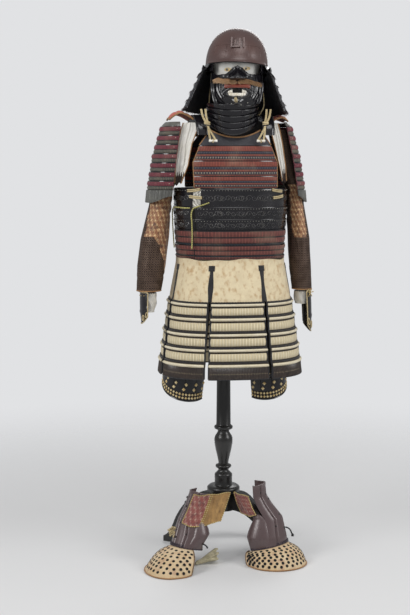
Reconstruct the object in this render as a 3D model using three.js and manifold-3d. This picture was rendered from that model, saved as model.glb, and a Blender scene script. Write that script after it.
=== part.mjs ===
// Samurai armour: helmet, face mask, laced cuirass with its skirt, shoulder guards, armoured sleeves,
// thigh guards, shin guards and foot guards, hung on a turned display stand with a smooth head.
// Millimetres, +Z up. The armour faces -Y, and +X is the wearer's left. An angle round a piece is in
// degrees from the front (-Y), positive towards +X. Laced lames are shingled: each one's top edge
// stands outside the lame above, so a laced piece has a saw-tooth profile.

import * as THREE from "three";
import Module from "manifold-3d";

// ---------------------------------------------------------------- driving dimensions

const SHELL = 2.5; // lacquered iron or leather with its lining
const PLATE = 2; // bare iron plate
const CLOTH = 2; // brocade, plain cloth and soft leather
const SEAM = 0.5; // gap where two pieces meet
const LIP = 3; // a lame's top edge stands out this far from the lame above
const TUCK = 6; // a lame's bottom edge runs this far behind the next lame

const HELMET_RIM = 1672;
const NECK_EDGE = 1440; // middle of the cuirass's neck edge
const CHEST_TOP = 1414;
const BELLY_TOP = 1275;
const WAIST_TOP = 1138;
const SKIRT_TOP = 1041;
const TASSET_TOP = 903;
const HEM = 649;

const SQUARENESS = 2.5; // exponent of the girth curve; 2 is an ellipse
const GIRTH = [ // the cuirass and skirt: half width, and depth in front of and behind the axis
  { z: 1470, half: 162, front: 116, back: 112 },
  { z: 1414, half: 172, front: 136, back: 126 },
  { z: 1363, half: 179, front: 150, back: 136 },
  { z: 1308, half: 184, front: 156, back: 142 },
  { z: 1275, half: 187, front: 160, back: 144 },
  { z: 1210, half: 188, front: 162, back: 143 },
  { z: 1138, half: 184, front: 158, back: 137 },
  { z: 1041, half: 180, front: 150, back: 130 },
  { z: 903, half: 205, front: 171, back: 151 },
  { z: 649, half: 243, front: 202, back: 182 },
];
const CHEST_LAMES = [1414, 1364, 1314]; // lame tops
const CHEST_WIDTH = [
  { z: 1414, half: 120 },
  { z: 1360, half: 143 },
  { z: 1275, half: 140 },
];
const WAIST_LAMES = [1138, 1089, 1051];
const TASSET_LAMES = [903, 857, 806, 756, 707];
const CUIRASS_SEAM = -49; // the front end overlaps the back end here, on the wearer's right

const HEAD_AT = { x: 13, y: -55, yaw: -8 }; // the head stands forward and looks to the wearer's right
const STAND_AT = { x: -14, y: 40 };

// ---------------------------------------------------------------- shape tools

const { sin, cos, abs, max, min } = Math;
const rad = THREE.MathUtils.degToRad;
const { clamp, lerp, smoothstep } = THREE.MathUtils;
const vec = (x, y, z) => new THREE.Vector3(x, y, z);

/** n + 1 evenly spaced values from a to b. */
function steps(a, b, n) {
  return Array.from({ length: n + 1 }, (_, i) => lerp(a, b, i / n));
}

/** The row of a table at a height, or another key: every column is blended between its neighbours. */
function rowAt(table, value, key = "z") {
  const rows = table[0][key] > table.at(-1)[key] ? table : [...table].reverse();
  const lower = max(1, rows.findIndex((row) => row[key] <= value));
  const [a, b] = value < rows.at(-1)[key] ? rows.slice(-2) : [rows[lower - 1], rows[lower]];
  const share = min(1, max(0, (a[key] - value) / (a[key] - b[key])));
  return Object.fromEntries(Object.keys(a).map((column) => [column, lerp(a[column], b[column], share)]));
}

/** A geometry from faces of three or four points; equal points are shared and the faces look out. */
function solidFrom(faces) {
  const index = new Map();
  const position = [];
  const at = (p) => {
    const key = [p.x, p.y, p.z].map((c) => c.toFixed(3)).join();
    if (!index.has(key)) {
      index.set(key, position.length / 3);
      position.push(p.x, p.y, p.z);
    }
    return index.get(key);
  };
  const triangles = [];
  for (const face of faces) {
    const ids = face.map(at);
    for (let k = 1; k + 1 < ids.length; k++) {
      const t = [ids[0], ids[k], ids[k + 1]];
      if (new Set(t).size === 3) triangles.push(t);
    }
  }
  const p = (i) => vec(...position.slice(3 * i, 3 * i + 3));
  const volume = triangles.reduce((sum, [a, b, c]) => sum + p(a).dot(p(b).cross(p(c))), 0);
  if (volume < 0) triangles.forEach((t) => t.reverse());
  return new THREE.BufferGeometry()
    .setAttribute("position", new THREE.BufferAttribute(new Float32Array(position), 3))
    .setIndex(triangles.flat());
}

/**
 * A closed wall: `skin(u, v, inset)` gives the outer skin at inset 0 and the inner one at inset 1.
 * `ring` joins the last column to the first, and `keep(i, j)` says which cells of the grid exist.
 */
function wall({ us, vs, skin, ring = false, keep = () => true }) {
  const columns = ring ? us.length : us.length - 1;
  const rows = vs.length - 1;
  const next = (i) => (i + 1) % us.length;
  const there = (i, j) => {
    const column = ring ? (i + columns) % columns : i;
    return column >= 0 && column < columns && j >= 0 && j < rows && keep(column, j);
  };
  const grid = [0, 1].map((inset) => us.map((u) => vs.map((v) => skin(u, v, inset))));
  const faces = [];
  const side = ([i, j], [m, n]) =>
    faces.push([grid[0][m][n], grid[0][i][j], grid[1][i][j], grid[1][m][n]]);
  for (let i = 0; i < columns; i++)
    for (let j = 0; j < rows; j++) {
      if (!there(i, j)) continue;
      const corners = [[i, j], [next(i), j], [next(i), j + 1], [i, j + 1]];
      faces.push(corners.map(([m, n]) => grid[0][m][n]));
      faces.push(corners.map(([m, n]) => grid[1][m][n]).reverse());
      if (!there(i, j - 1)) side(corners[0], corners[1]);
      if (!there(i + 1, j)) side(corners[1], corners[2]);
      if (!there(i, j + 1)) side(corners[2], corners[3]);
      if (!there(i - 1, j)) side(corners[3], corners[0]);
    }
  return solidFrom(faces);
}

/** A solid through closed rings of points, each ring with the same count, capped at both ends. */
function loft(rings) {
  const faces = [];
  const count = rings[0].length;
  for (let k = 0; k + 1 < rings.length; k++)
    for (let i = 0; i < count; i++) {
      const j = (i + 1) % count;
      faces.push([rings[k][i], rings[k][j], rings[k + 1][j], rings[k + 1][i]]);
    }
  faces.push([...rings[0]].reverse(), rings.at(-1));
  return solidFrom(faces);
}

/** Stations down a laced piece: each lame runs from its top edge, stood out by the lip, to the next. */
function lameStations(tops, bottom, lip = LIP) {
  const edges = [...tops, bottom];
  return tops.flatMap((top, k) => [
    { z: top, out: lip },
    { z: edges[k + 1], out: 0 },
  ]);
}

/** A wall whose skin is a surface `at(angle, z, out)`, along stations of height and outward step. */
function lamedWall({ at, us, stations, thickness = SHELL, ...rest }) {
  const skin = (u, s, inset) => at(u, s.z, inset ? -thickness : s.out);
  return wall({ us, vs: stations, skin, ...rest });
}

/** A tube along a smooth curve through points, as an extruded regular section. */
function tube(points, radius, sides, along) {
  const turn = steps(0, 360, sides).slice(0, sides).map(rad);
  const section = new THREE.Shape(turn.map((a) => new THREE.Vector2(radius * cos(a), radius * sin(a))));
  const path = new THREE.CatmullRomCurve3(points.map((p) => vec(...p)));
  return new THREE.ExtrudeGeometry(section, { steps: along, extrudePath: path });
}

const manifold = await Module();
manifold.setup();

/** Geometries joined into one solid. */
function join(geometries) {
  const solids = geometries.map((geometry) => {
    const faces = [];
    const flat = geometry.index ? geometry.toNonIndexed() : geometry;
    const p = flat.getAttribute("position");
    for (let i = 0; i < p.count; i += 3)
      faces.push([0, 1, 2].map((k) => new THREE.Vector3().fromBufferAttribute(p, i + k)));
    const closed = solidFrom(faces);
    return new manifold.Manifold(new manifold.Mesh({
      numProp: 3,
      vertProperties: closed.getAttribute("position").array,
      triVerts: new Uint32Array(closed.index.array),
    }));
  });
  const whole = solids.reduce((a, b) => a.add(b)).getMesh();
  return new THREE.BufferGeometry()
    .setAttribute("position", new THREE.BufferAttribute(new Float32Array(whole.vertProperties), 3))
    .setIndex([...whole.triVerts]);
}

// ---------------------------------------------------------------- finishes and the scene graph

const finish = (color, roughness, metalness = 0) =>
  new THREE.MeshStandardMaterial({ color, roughness, metalness });
const FINISH = {
  russetIron: finish("#54403d", 0.45, 0.3),
  blackLacquer: finish("#17161a", 0.25),
  ironMauve: finish("#5c4c4c", 0.4, 0.3),
  redLacing: finish("#9c5040", 0.85),
  crimsonLacing: finish("#9c3a4a", 0.85),
  creamLeather: finish("#d9c59e", 0.8),
  creamCord: finish("#e2d2a8", 0.8),
  greenCord: finish("#a8a54a", 0.8),
  brocade: finish("#9c6a44", 0.85),
  redBrocade: finish("#8c4a44", 0.85),
  whiteCloth: finish("#e8e6e0", 0.9),
  bristle: finish("#c08a52", 0.9),
  blackWood: finish("#1b1a1a", 0.4),
  paleHead: finish("#e6e4de", 0.6),
};

const armour = new THREE.Group();
const head = new THREE.Group(); // helmet, mask and head form, heights as on the whole armour
head.position.set(HEAD_AT.x, HEAD_AT.y, 0);
head.rotation.z = rad(HEAD_AT.yaw);
armour.add(head);

function add(name, geometry, material, parent = armour) {
  const mesh = new THREE.Mesh(geometry, FINISH[material]);
  mesh.name = name;
  parent.add(mesh);
  return mesh;
}

/** The two sides of the wearer: name, and the sign of its X. */
const SIDES = [
  { side: "right", sign: -1 },
  { side: "left", sign: 1 },
];

/** A point on an oval section: angle from the front, half widths rx and ry about (x, y). */
function oval({ x, y, rx, ry }, angle, z, out = 0) {
  return vec(x + (rx + out) * sin(rad(angle)), y - (ry + out) * cos(rad(angle)), z);
}

/** A point of the body's girth: angle from the front, height, distance out from the girth. */
function girth(angle, z, out = 0) {
  const row = rowAt(GIRTH, z);
  const s = sin(rad(angle));
  const c = cos(rad(angle));
  const depth = c >= 0 ? row.front : row.back;
  const reach = (abs(s) / (row.half + out)) ** SQUARENESS + (abs(c) / (depth + out)) ** SQUARENESS;
  const r = reach ** (-1 / SQUARENESS);
  return vec(r * s, -r * c, z);
}

/** A point of the girth's front (facing -1) or back (facing 1) at a given x. */
function girthAcross(x, z, out, facing) {
  const row = rowAt(GIRTH, z);
  const depth = (facing < 0 ? row.front : row.back) + out;
  const share = (abs(x) / (row.half + out)) ** SQUARENESS;
  return vec(x, facing * depth * (1 - share) ** (1 / SQUARENESS), z);
}

// ---------------------------------------------------------------- display stand

const COLUMN = [ // the turned column, from the base up
  { z: 150, r: 40 }, { z: 212, r: 40 }, { z: 214, r: 57 }, { z: 232, r: 57 }, { z: 236, r: 50 },
  { z: 238, r: 32 }, { z: 276, r: 32 }, { z: 280, r: 27 }, { z: 290, r: 18 }, { z: 296, r: 20 },
  { z: 300, r: 27 }, { z: 309, r: 27 }, { z: 313, r: 17 }, { z: 345, r: 23 }, { z: 385, r: 31 },
  { z: 402, r: 32 }, { z: 416, r: 27 }, { z: 427, r: 20 }, { z: 434, r: 21 }, { z: 437, r: 31 },
  { z: 447, r: 32 }, { z: 452, r: 25 }, { z: 900, r: 22 }, { z: 1439, r: 22 },
];
const YOKE_TOP = 1505;
const LEG_ANGLES = { right: -52, left: 52, back_right: -128, back_left: 128 };

function standColumn() {
  const profile = [{ z: 150, r: 0 }, ...COLUMN, { z: 1439, r: 0 }].map(({ r, z }) => new THREE.Vector2(r, z));
  return new THREE.LatheGeometry(profile, 16).rotateX(Math.PI / 2);
}

/** A leg of the tripod, cut from a board: it springs from the hub and lands on a flat foot. */
function standLeg() {
  const board = 24;
  const outline = new THREE.Shape();
  outline.moveTo(41, 205);
  outline.bezierCurveTo(100, 208, 150, 165, 188, 95);
  outline.bezierCurveTo(205, 55, 215, 28, 240, 18);
  outline.lineTo(240, 0);
  outline.lineTo(200, 0);
  outline.bezierCurveTo(180, 30, 172, 75, 140, 110);
  outline.bezierCurveTo(110, 140, 80, 155, 41, 155);
  const options = { depth: board, bevelEnabled: false, curveSegments: 5 };
  return new THREE.ExtrudeGeometry(outline, options).rotateX(Math.PI / 2).translate(0, board / 2, 0);
}

/** The shoulder yoke: a board with sloping shoulders under the cuirass's straps. */
function standYoke() {
  const depth = 90;
  const ahead = depth - 30; // its front face from the body's axis
  const outline = new THREE.Shape();
  outline.moveTo(-122, 1470);
  outline.quadraticCurveTo(-118, 1488, -96, 1494);
  outline.lineTo(-48, YOKE_TOP);
  outline.lineTo(48, YOKE_TOP);
  outline.lineTo(96, 1494);
  outline.quadraticCurveTo(118, 1488, 122, 1470);
  outline.quadraticCurveTo(60, 1440, 0, 1440);
  outline.quadraticCurveTo(-60, 1440, -122, 1470);
  const options = { depth, bevelEnabled: false, curveSegments: 4 };
  return new THREE.ExtrudeGeometry(outline, options).rotateX(Math.PI / 2).translate(0, ahead, 0);
}

const HEAD_SECTIONS = [ // the smooth head form: neck, jaw, face and crown
  { z: 1506, y: 8, rx: 44, ry: 44 },
  { z: 1545, y: 6, rx: 46, ry: 50 },
  { z: 1570, y: 2, rx: 58, ry: 72 },
  { z: 1600, y: 0, rx: 68, ry: 84 },
  { z: 1640, y: 0, rx: 74, ry: 91 },
  { z: 1690, y: 0, rx: 77, ry: 95 },
  { z: 1735, y: 2, rx: 70, ry: 86 },
  { z: 1762, y: 4, rx: 52, ry: 62 },
  { z: 1777, y: 5, rx: 24, ry: 28 },
];

function standHead() {
  const turn = steps(0, 360, 20).slice(0, 20);
  return loft(HEAD_SECTIONS.map((s) => turn.map((a) => oval({ x: 0, ...s }, a, s.z))));
}

const standFoot = new THREE.Group();
standFoot.position.set(STAND_AT.x, STAND_AT.y, 0);
armour.add(standFoot);
add("stand_column", standColumn(), "blackWood", standFoot);
for (const [name, angle] of Object.entries(LEG_ANGLES))
  add("stand_leg_" + name, standLeg(), "blackWood", standFoot).rotation.z = rad(angle - 90);
add("stand_yoke", standYoke(), "blackWood");
add("stand_head", standHead(), "paleHead", head);

// ---------------------------------------------------------------- helmet

const BOWL = { half: 103, length: 120, height: 126 };
const NECK_LAMES = [ // half width and length of the neck guard below the rim; it is open in front
  { z: -4, half: 106, length: 124 },
  { z: -30, half: 120, length: 134 },
  { z: -57, half: 131, length: 142 },
  { z: -85, half: 144, length: 150 },
  { z: -114, half: 156, length: 158 },
  { z: -142, half: 170, length: 166 },
];
const NECK_FRONT = 68; // angle from the front at which the neck guard ends
const NECK_WING = 10; // the first lame's front ends turn out this far at the rim

const helmet = new THREE.Group(); // heights are above the rim, which tilts back and down to the left
helmet.position.z = HELMET_RIM;
helmet.rotation.set(rad(-4), rad(2), 0);
head.add(helmet);

/** A point of the bowl: angle from the front, rise from the rim (0) to the crown (1), distance out. */
function bowlAt(angle, rise, out = 0) {
  const lift = rad(90 * rise);
  return vec(
    (BOWL.half + out) * cos(lift) * sin(rad(angle)),
    -(BOWL.length + out) * cos(lift) * cos(rad(angle)),
    (BOWL.height + out) * sin(lift),
  );
}

function helmetBowl() {
  const us = steps(0, 360, 24).slice(0, 24);
  const skin = (u, v, inset) => bowlAt(u, v, inset ? -SHELL : 0);
  return wall({ us, vs: steps(0, 1, 7), skin, ring: true });
}

/** The brow plate lies on the bowl's front and turns out along the rim as a short peak. */
function browPlate() {
  const thickness = 1.5;
  const stations = [
    ...[0.32, 0.22, 0.12, 0.03].map((rise) => ({ rise, drop: 0, out: 3 })),
    { rise: 0.03, drop: 7, out: 13 },
  ];
  const skin = (u, s, inset) => {
    const p = bowlAt(u, s.rise, s.out - inset * thickness);
    return p.setZ(p.z - s.drop - (s.drop ? inset * thickness : 0));
  };
  return wall({ us: steps(-60, 60, 8), vs: stations, skin });
}

/** The crest holder: a forked socket that stands on the brow plate. */
function crestHolder() {
  const outline = new THREE.Shape(
    [[-15, 0], [15, 0], [15, 34], [7, 34], [7, 12], [-7, 12], [-7, 34], [-15, 34]]
      .map(([x, y]) => new THREE.Vector2(x, y)),
  );
  return new THREE.ExtrudeGeometry(outline, { depth: 3, bevelEnabled: false }).rotateX(Math.PI / 2);
}

/** Lame k of the neck guard; the first one's front ends turn out as small wings. */
function neckLame(k) {
  const [top, bottom] = NECK_LAMES.slice(k, k + 2);
  const stations = [{ z: top.z, out: LIP }, { z: bottom.z - TUCK / 2, out: -LIP / 2 }];
  const skin = (angle, s, inset) => {
    const row = rowAt(NECK_LAMES, s.z);
    const turnedOut = k === 0 && s === stations[0];
    const wing = turnedOut ? NECK_WING * smoothstep(abs(180 - angle), 96, 180 - NECK_FRONT) : 0;
    return oval({ x: 0, y: 0, rx: row.half + wing, ry: row.length }, angle, s.z, s.out - inset * SHELL);
  };
  return wall({ us: steps(NECK_FRONT, 360 - NECK_FRONT, 14), vs: stations, skin });
}

const CHIN_CORD = [ // from the rim down past the cheek and under the chin
  [-91, -8, 1655], [-93, 2, 1600], [-90, 14, 1545], [-72, 22, 1514], [-50, -12, 1500], [0, -50, 1494],
];

add("helmet_bowl", helmetBowl(), "russetIron", helmet);
add("brow_plate", browPlate(), "blackLacquer", helmet);
const holder = add("crest_holder", crestHolder(), "russetIron", helmet);
holder.position.set(-4, -BOWL.length + 2, 45);
holder.rotation.x = rad(-30);
for (let k = 0; k + 1 < NECK_LAMES.length; k++)
  add(`neck_guard_${k + 1}`, neckLame(k), "blackLacquer", helmet);
const chinCordRight = CHIN_CORD.slice(0, -1).map(([x, y, z]) => [-x, y, z]).reverse();
add("chin_cord", tube([...CHIN_CORD, ...chinCordRight], 2.5, 6, 20), "creamCord", head);

// ---------------------------------------------------------------- face mask and throat guard

const MASK = [ // half width, depth of the front and the reach of the nose and chin beyond it
  { z: 1668, half: 84, depth: 96, nose: 8 },
  { z: 1650, half: 85, depth: 97, nose: 16 },
  { z: 1630, half: 86, depth: 98, nose: 26 },
  { z: 1618, half: 86, depth: 98, nose: 10 },
  { z: 1590, half: 84, depth: 97, nose: 9 },
  { z: 1560, half: 78, depth: 92, nose: 12 },
  { z: 1540, half: 72, depth: 86, nose: 10 },
];
const MASK_EDGE = 80; // angle from the front at which the mask ends
const MASK_TOP = [ // its upper edge by angle: bridge of the nose, hollow under the eye, cheek
  { angle: 0, edge: 1668 },
  { angle: 10, edge: 1662 },
  { angle: 24, edge: 1642 },
  { angle: 50, edge: 1640 },
  { angle: 80, edge: 1656 },
];
const MASK_CHIN_RISE = 14; // the mask's lower edge climbs this far to its ends
const NOSE_SPREAD = 22.5; // angle from the front at which the nose and chin ridge dies out

/** A point of the mask: angle from the front, share of the way from its top edge (0) to the chin (1). */
function maskAt(angle, share, out = 0) {
  const top = rowAt(MASK_TOP, abs(angle), "angle").edge;
  const z = lerp(top, MASK.at(-1).z + MASK_CHIN_RISE * (angle / MASK_EDGE) ** 2, share);
  const row = rowAt(MASK, z);
  const ridge = row.nose * cos(rad(90 * min(1, abs(angle) / NOSE_SPREAD))) ** 1.5;
  return oval({ x: 0, y: -8, rx: row.half, ry: row.depth + ridge }, angle, z, out);
}

function faceMask() {
  const us = [-MASK_EDGE, -62, -44, -30, -20, -10, 0, 10, 20, 30, 44, 62, MASK_EDGE];
  const skin = (u, v, inset) => maskAt(u, v, inset ? -SHELL : 0);
  return wall({ us, vs: [0, 0.2, 0.32, 0.4, 0.6, 0.8, 1], skin });
}

const MOUSTACHE = { z: 1613, height: 13, spread: 56, half: 91, depth: 113, reach: 7 };

/** The reach of the bristle moustache: a band across the face under the nose. */
function moustache() {
  const { half, depth, height, spread, reach } = MOUSTACHE;
  const skin = (u, v, inset) =>
    oval({ x: 0, y: -8, rx: half, ry: depth }, u, MOUSTACHE.z + v, inset ? 0 : reach);
  return wall({ us: steps(-spread, spread, 8), vs: [height / 2, -height / 2], skin });
}

const THROAT = { x: -14, half: 80, depth: 92, top: 1537, lames: 5, flare: 4 };
const THROAT_SIDE = { top: -22, bottom: 26 }; // how far each edge's ends stand above its middle

/** The throat guard hangs from the mask; its lower edge curves up at the sides with the neck edge. */
function throatGuard() {
  const stations = lameStations(steps(0, 1, THROAT.lames).slice(0, -1).map((share) => -share), -1);
  const at = (angle, drop, out) => {
    const share = -drop;
    const middle = lerp(THROAT.top, NECK_EDGE + 8, share);
    const z = middle + lerp(THROAT_SIDE.top, THROAT_SIDE.bottom, share) * sin(rad(angle)) ** 2;
    const flare = THROAT.flare * share;
    return oval({ x: THROAT.x, y: -4, rx: THROAT.half + flare, ry: THROAT.depth + flare }, angle, z, out);
  };
  return lamedWall({ at, us: steps(-94, 94, 12), stations });
}

add("face_mask", faceMask(), "blackLacquer", head);
add("moustache", moustache(), "bristle", head);
add("throat_guard", throatGuard(), "blackLacquer", head);

// ---------------------------------------------------------------- cuirass

/** A laced chest or back panel: it spans the body between the armholes. */
function chestPanel(facing) {
  const at = (share, z, out) => girthAcross(share * rowAt(CHEST_WIDTH, z).half, z, out, facing);
  return lamedWall({ at, us: steps(-1, 1, 8), stations: lameStations(CHEST_LAMES, BELLY_TOP + SEAM) });
}

const NECK_PLATE = { foot: 120, top: 84, hollow: 24 }; // half widths, and how deep its edge dips

/** The plain plate over the chest or back lames, its upper edge hollowed for the neck. */
function neckPlate(facing) {
  const skin = (share, rise, inset) => {
    const x = share * lerp(NECK_PLATE.foot, NECK_PLATE.top, rise);
    const edge = NECK_EDGE + NECK_PLATE.hollow * share * share;
    const z = lerp(CHEST_TOP + SEAM, edge, rise);
    return girthAcross(x, z, inset ? -SHELL : 1, facing);
  };
  return wall({ us: steps(-1, 1, 8), vs: steps(0, 1, 2), skin });
}

const END_DRAWN_IN = 7; // depth that the back end is drawn in under the front end

/** Stations round the cuirass, from the front end, round the back, to the end tucked under it. */
const ROUND = [...steps(CUIRASS_SEAM, 285, 22), 297, 308, 319];

/** The girth with its last stretch drawn in, where the back end passes under the front end. */
function cuirassAt(angle, z, out) {
  return girth(angle, z, out - END_DRAWN_IN * smoothstep(angle, 285, 306));
}

/** One solid belly lame: its bottom edge runs behind the next belly lame. */
function bellyLame(top, bottom) {
  const skin = (u, s, inset) => cuirassAt(u, s.z, s.out - inset * PLATE);
  return wall({ us: ROUND, vs: [{ z: top, out: LIP }, { z: bottom, out: 0 }], skin });
}

const BELLY_LAMES = [
  { top: BELLY_TOP, bottom: 1215 - TUCK },
  { top: 1215, bottom: 1175 - TUCK },
  { top: 1175, bottom: WAIST_TOP + SEAM },
];

const STRAP = { width: 38, thickness: 4 };
const STRAP_PATH = [ // from the breast plate over the shoulder to the back plate
  [108, -120, 1448], [110, -112, 1476], [113, -70, 1506], [114, 0, 1513],
  [113, 66, 1504], [110, 104, 1475], [108, 112, 1448],
];

/** A shoulder strap arches over the yoke; its section is square to its path. */
function shoulderStrap(sign) {
  const path = new THREE.CatmullRomCurve3(STRAP_PATH.map((p) => vec(...p)));
  const skin = (u, v, inset) => {
    const along = path.getTangent(v);
    const out = vec(0, -along.z, along.y).setLength(inset ? 0 : STRAP.thickness);
    return path.getPoint(v).add(out).add(vec((u * STRAP.width) / 2, 0, 0));
  };
  const strap = wall({ us: [-1, 1], vs: steps(0, 1, 10), skin });
  return sign < 0 ? mirrored(strap) : strap;
}

/** A geometry turned over to the other side of the body. */
function mirrored(geometry) {
  const copy = geometry.clone().scale(-1, 1, 1);
  const index = copy.index.array;
  for (let i = 0; i < index.length; i += 3) [index[i + 1], index[i + 2]] = [index[i + 2], index[i + 1]];
  return copy;
}

add("chest_lames", chestPanel(-1), "redLacing");
add("back_lames", chestPanel(1), "redLacing");
add("breast_plate", neckPlate(-1), "blackLacquer");
add("back_plate", neckPlate(1), "blackLacquer");
BELLY_LAMES.forEach(({ top, bottom }, k) =>
  add(`belly_lame_${k + 1}`, bellyLame(top, bottom), "blackLacquer"));
const waist = lamedWall({ at: cuirassAt, us: ROUND, stations: lameStations(WAIST_LAMES, SKIRT_TOP) });
add("waist_lames", waist, "redLacing");
for (const { side, sign } of SIDES) add("shoulder_strap_" + side, shoulderStrap(sign), "blackLacquer");

// ---------------------------------------------------------------- cuirass cords

const TOGGLE_CORD = { r: 2.2, sides: 6 };
const TOGGLE_CORDS = [ // strands of one shoulder's fastening, from the strap down to the toggle
  [[101, -126, 1532], [99, -128, 1508], [94, -133, 1486]],
  [[115, -124, 1532], [110, -127, 1508], [99, -133, 1486]],
  [[94, -134, 1484], [92, -142, 1455], [88, -146, 1432]],
  [[99, -134, 1484], [84, -140, 1455], [70, -146, 1432]],
];
const KNOT = { x: 96.5, y: -134, z: 1484, rx: 11, ry: 5, rz: 5 };
const TOGGLE = { x: 79, y: -147, z: 1429, r: 4.2, length: 28 };

/** A shoulder's toggle fastening: two cords through a knot, and their loop round a toggle. */
function toggleCord(sign) {
  const cords = TOGGLE_CORDS.map((points) => tube(points, TOGGLE_CORD.r, TOGGLE_CORD.sides, 4));
  const knot = new THREE.SphereGeometry(1, 8, 6)
    .scale(KNOT.rx, KNOT.ry, KNOT.rz).translate(KNOT.x, KNOT.y, KNOT.z);
  const toggle = new THREE.CylinderGeometry(TOGGLE.r, TOGGLE.r, TOGGLE.length, 8)
    .rotateZ(Math.PI / 2).translate(TOGGLE.x, TOGGLE.y, TOGGLE.z);
  const whole = join([...cords, knot, toggle]);
  return sign < 0 ? mirrored(whole) : whole;
}

const SIDE_CORD = { r: 2.2, sides: 8 };
const SIDE_CORD_FRONT = [ // from its eye on the front end, back to the knot, and hanging free
  [-93, -158, 1229], [-112, -150, 1222], [-133, -138, 1214], [-143, -133, 1209], [-147, -132, 1200],
  [-147, -133, 1160], [-146, -132, 1120], [-147, -131, 1077],
];
const SIDE_CORD_BACK = [ // from the knot round the wearer's right side, and hanging free
  [-153, -128, 1211], [-171, -107, 1211], [-186, -75, 1212], [-194, -42, 1211], [-197, -22, 1204],
  [-197, -18, 1160], [-195, -18, 1120], [-192, -18, 1075],
];

for (const { side, sign } of SIDES) add("toggle_cord_" + side, toggleCord(sign), "creamCord");
add("side_cord_front", tube(SIDE_CORD_FRONT, SIDE_CORD.r, SIDE_CORD.sides, 16), "greenCord");
add("side_cord_back", tube(SIDE_CORD_BACK, SIDE_CORD.r, SIDE_CORD.sides, 16), "greenCord");

// ---------------------------------------------------------------- leather skirt and tassets

const PANELS = [ // the tassets, by the angles of their edges; slits in the leather run up between them
  { name: "front", from: -27.5, to: 27.5 },
  { name: "front_left", from: 31.5, to: 74 },
  { name: "side_left", from: 79, to: 125 },
  { name: "back_left", from: 130, to: 177 },
  { name: "back_right", from: 183, to: 230 },
  { name: "side_right", from: 235, to: 281 },
  { name: "front_right", from: 286, to: 328.5 },
];
const SLIT_TOP = 1022;
const SLIT_EASE = 0.8; // angle by which a slit's edges reach past the tassets' edges

/** The leather skirt: one piece laced under the waist, slit between the tassets. */
function leatherSkirt() {
  const us = PANELS.flatMap(({ from, to }) => steps(from - SLIT_EASE, to + SLIT_EASE, 4));
  const skin = (u, z, inset) => girth(u, z, inset ? -SHELL : 0);
  const vs = [SKIRT_TOP - SEAM, SLIT_TOP, 960, TASSET_TOP + SEAM];
  return wall({ us, vs, skin, ring: true, keep: (i, j) => j === 0 || i % 5 !== 4 });
}

/** One tasset: five laced lames that follow the flare of the skirt. */
function tasset({ from, to }) {
  return lamedWall({ at: girth, us: steps(from, to, 4), stations: lameStations(TASSET_LAMES, HEM, 4) });
}

add("leather_skirt", leatherSkirt(), "creamLeather");
for (const panel of PANELS) add("tasset_" + panel.name, tasset(panel), "creamCord");

// ---------------------------------------------------------------- thigh guards

const THIGHS = { // a thigh's oval section at the hem, the angles it spans and its lowest point's angle
  right: { x: -163, y: -24, rx: 72, ry: 84, from: -100, to: 52, lowest: 20 },
  left: { x: 122, y: -24, rx: 72, ry: 84, from: -52, to: 100, lowest: -20 },
};
const THIGH = { top: 985, bottom: 562, rise: 24, narrow: 0.14, inward: 0.3 };

/** A thigh guard: a cloth that hangs inside the skirt, with iron plates on its lower part. */
function thighGuard({ x, y, rx, ry, from, to, lowest }) {
  const skin = (u, share, inset) => {
    const edge = THIGH.bottom + THIGH.rise * ((u - lowest) / 80) ** 2;
    const slim = 1 - THIGH.narrow * (1 - share); // drawn in towards the waist
    const section = { x: x * (1 - THIGH.inward * (1 - share)), y, rx: rx * slim, ry: ry * slim };
    return oval(section, u, lerp(THIGH.top, edge, share), inset ? -CLOTH : 0);
  };
  return wall({ us: steps(from, to, 8), vs: [0, 0.4, 0.7, 1], skin });
}

for (const [side, section] of Object.entries(THIGHS))
  add("thigh_guard_" + side, thighGuard(section), "blackLacquer");

// ---------------------------------------------------------------- shoulder guards and arms

const GUARD_SHIFT = -12; // both shoulder guards hang a little towards the wearer's right
const GUARD = [ // section of a shoulder guard: x out from the middle, half widths
  { z: 1492, x: 170, rx: 36, ry: 68 },
  { z: 1478, x: 172, rx: 47, ry: 78 },
  { z: 1380, x: 188, rx: 60, ry: 83 },
  { z: 1225, x: 208, rx: 66, ry: 90 },
];
const GUARD_SPREAD = { back: -98, right: 98, left: 66 }; // from the back edge to each side's front edge
const GUARD_LAMES = [1478, 1448, 1418, 1388, 1358, 1328, 1298, 1268];
const GUARD_BOTTOM = 1226;

/** A point of a shoulder guard: angle round from straight out, height, distance out. */
function guardAt(sign, angle, z, out) {
  const { x, rx, ry } = rowAt(GUARD, z);
  return oval({ x: sign * x + GUARD_SHIFT, y: 0, rx, ry }, sign * (90 - angle), z, out);
}

/** A shoulder guard: a plain top plate that leans in, laced lames and a plain bottom lame. */
function shoulderGuard(side, sign) {
  const at = (angle, z, out) => guardAt(sign, angle, z, out);
  const us = steps(GUARD_SPREAD.back, GUARD_SPREAD[side], 8);
  const plate = { z: GUARD[0].z, out: 0 };
  return lamedWall({ at, us, stations: [plate, ...lameStations(GUARD_LAMES, GUARD_BOTTOM)] });
}

const WINGS = { // small padded wings over the shoulders: inner edge, crown and outer edge, and heights
  right: { inner: 133, crown: 177, outer: 209, top: 1528, foot: 1508, sign: -1 },
  left: { inner: 134, crown: 163, outer: 190, top: 1515, foot: 1504, sign: 1 },
};
const WING = { padding: 4, reach: 72, taper: 34, sag: 5 }; // front and back reach, and its loss outwards

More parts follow.
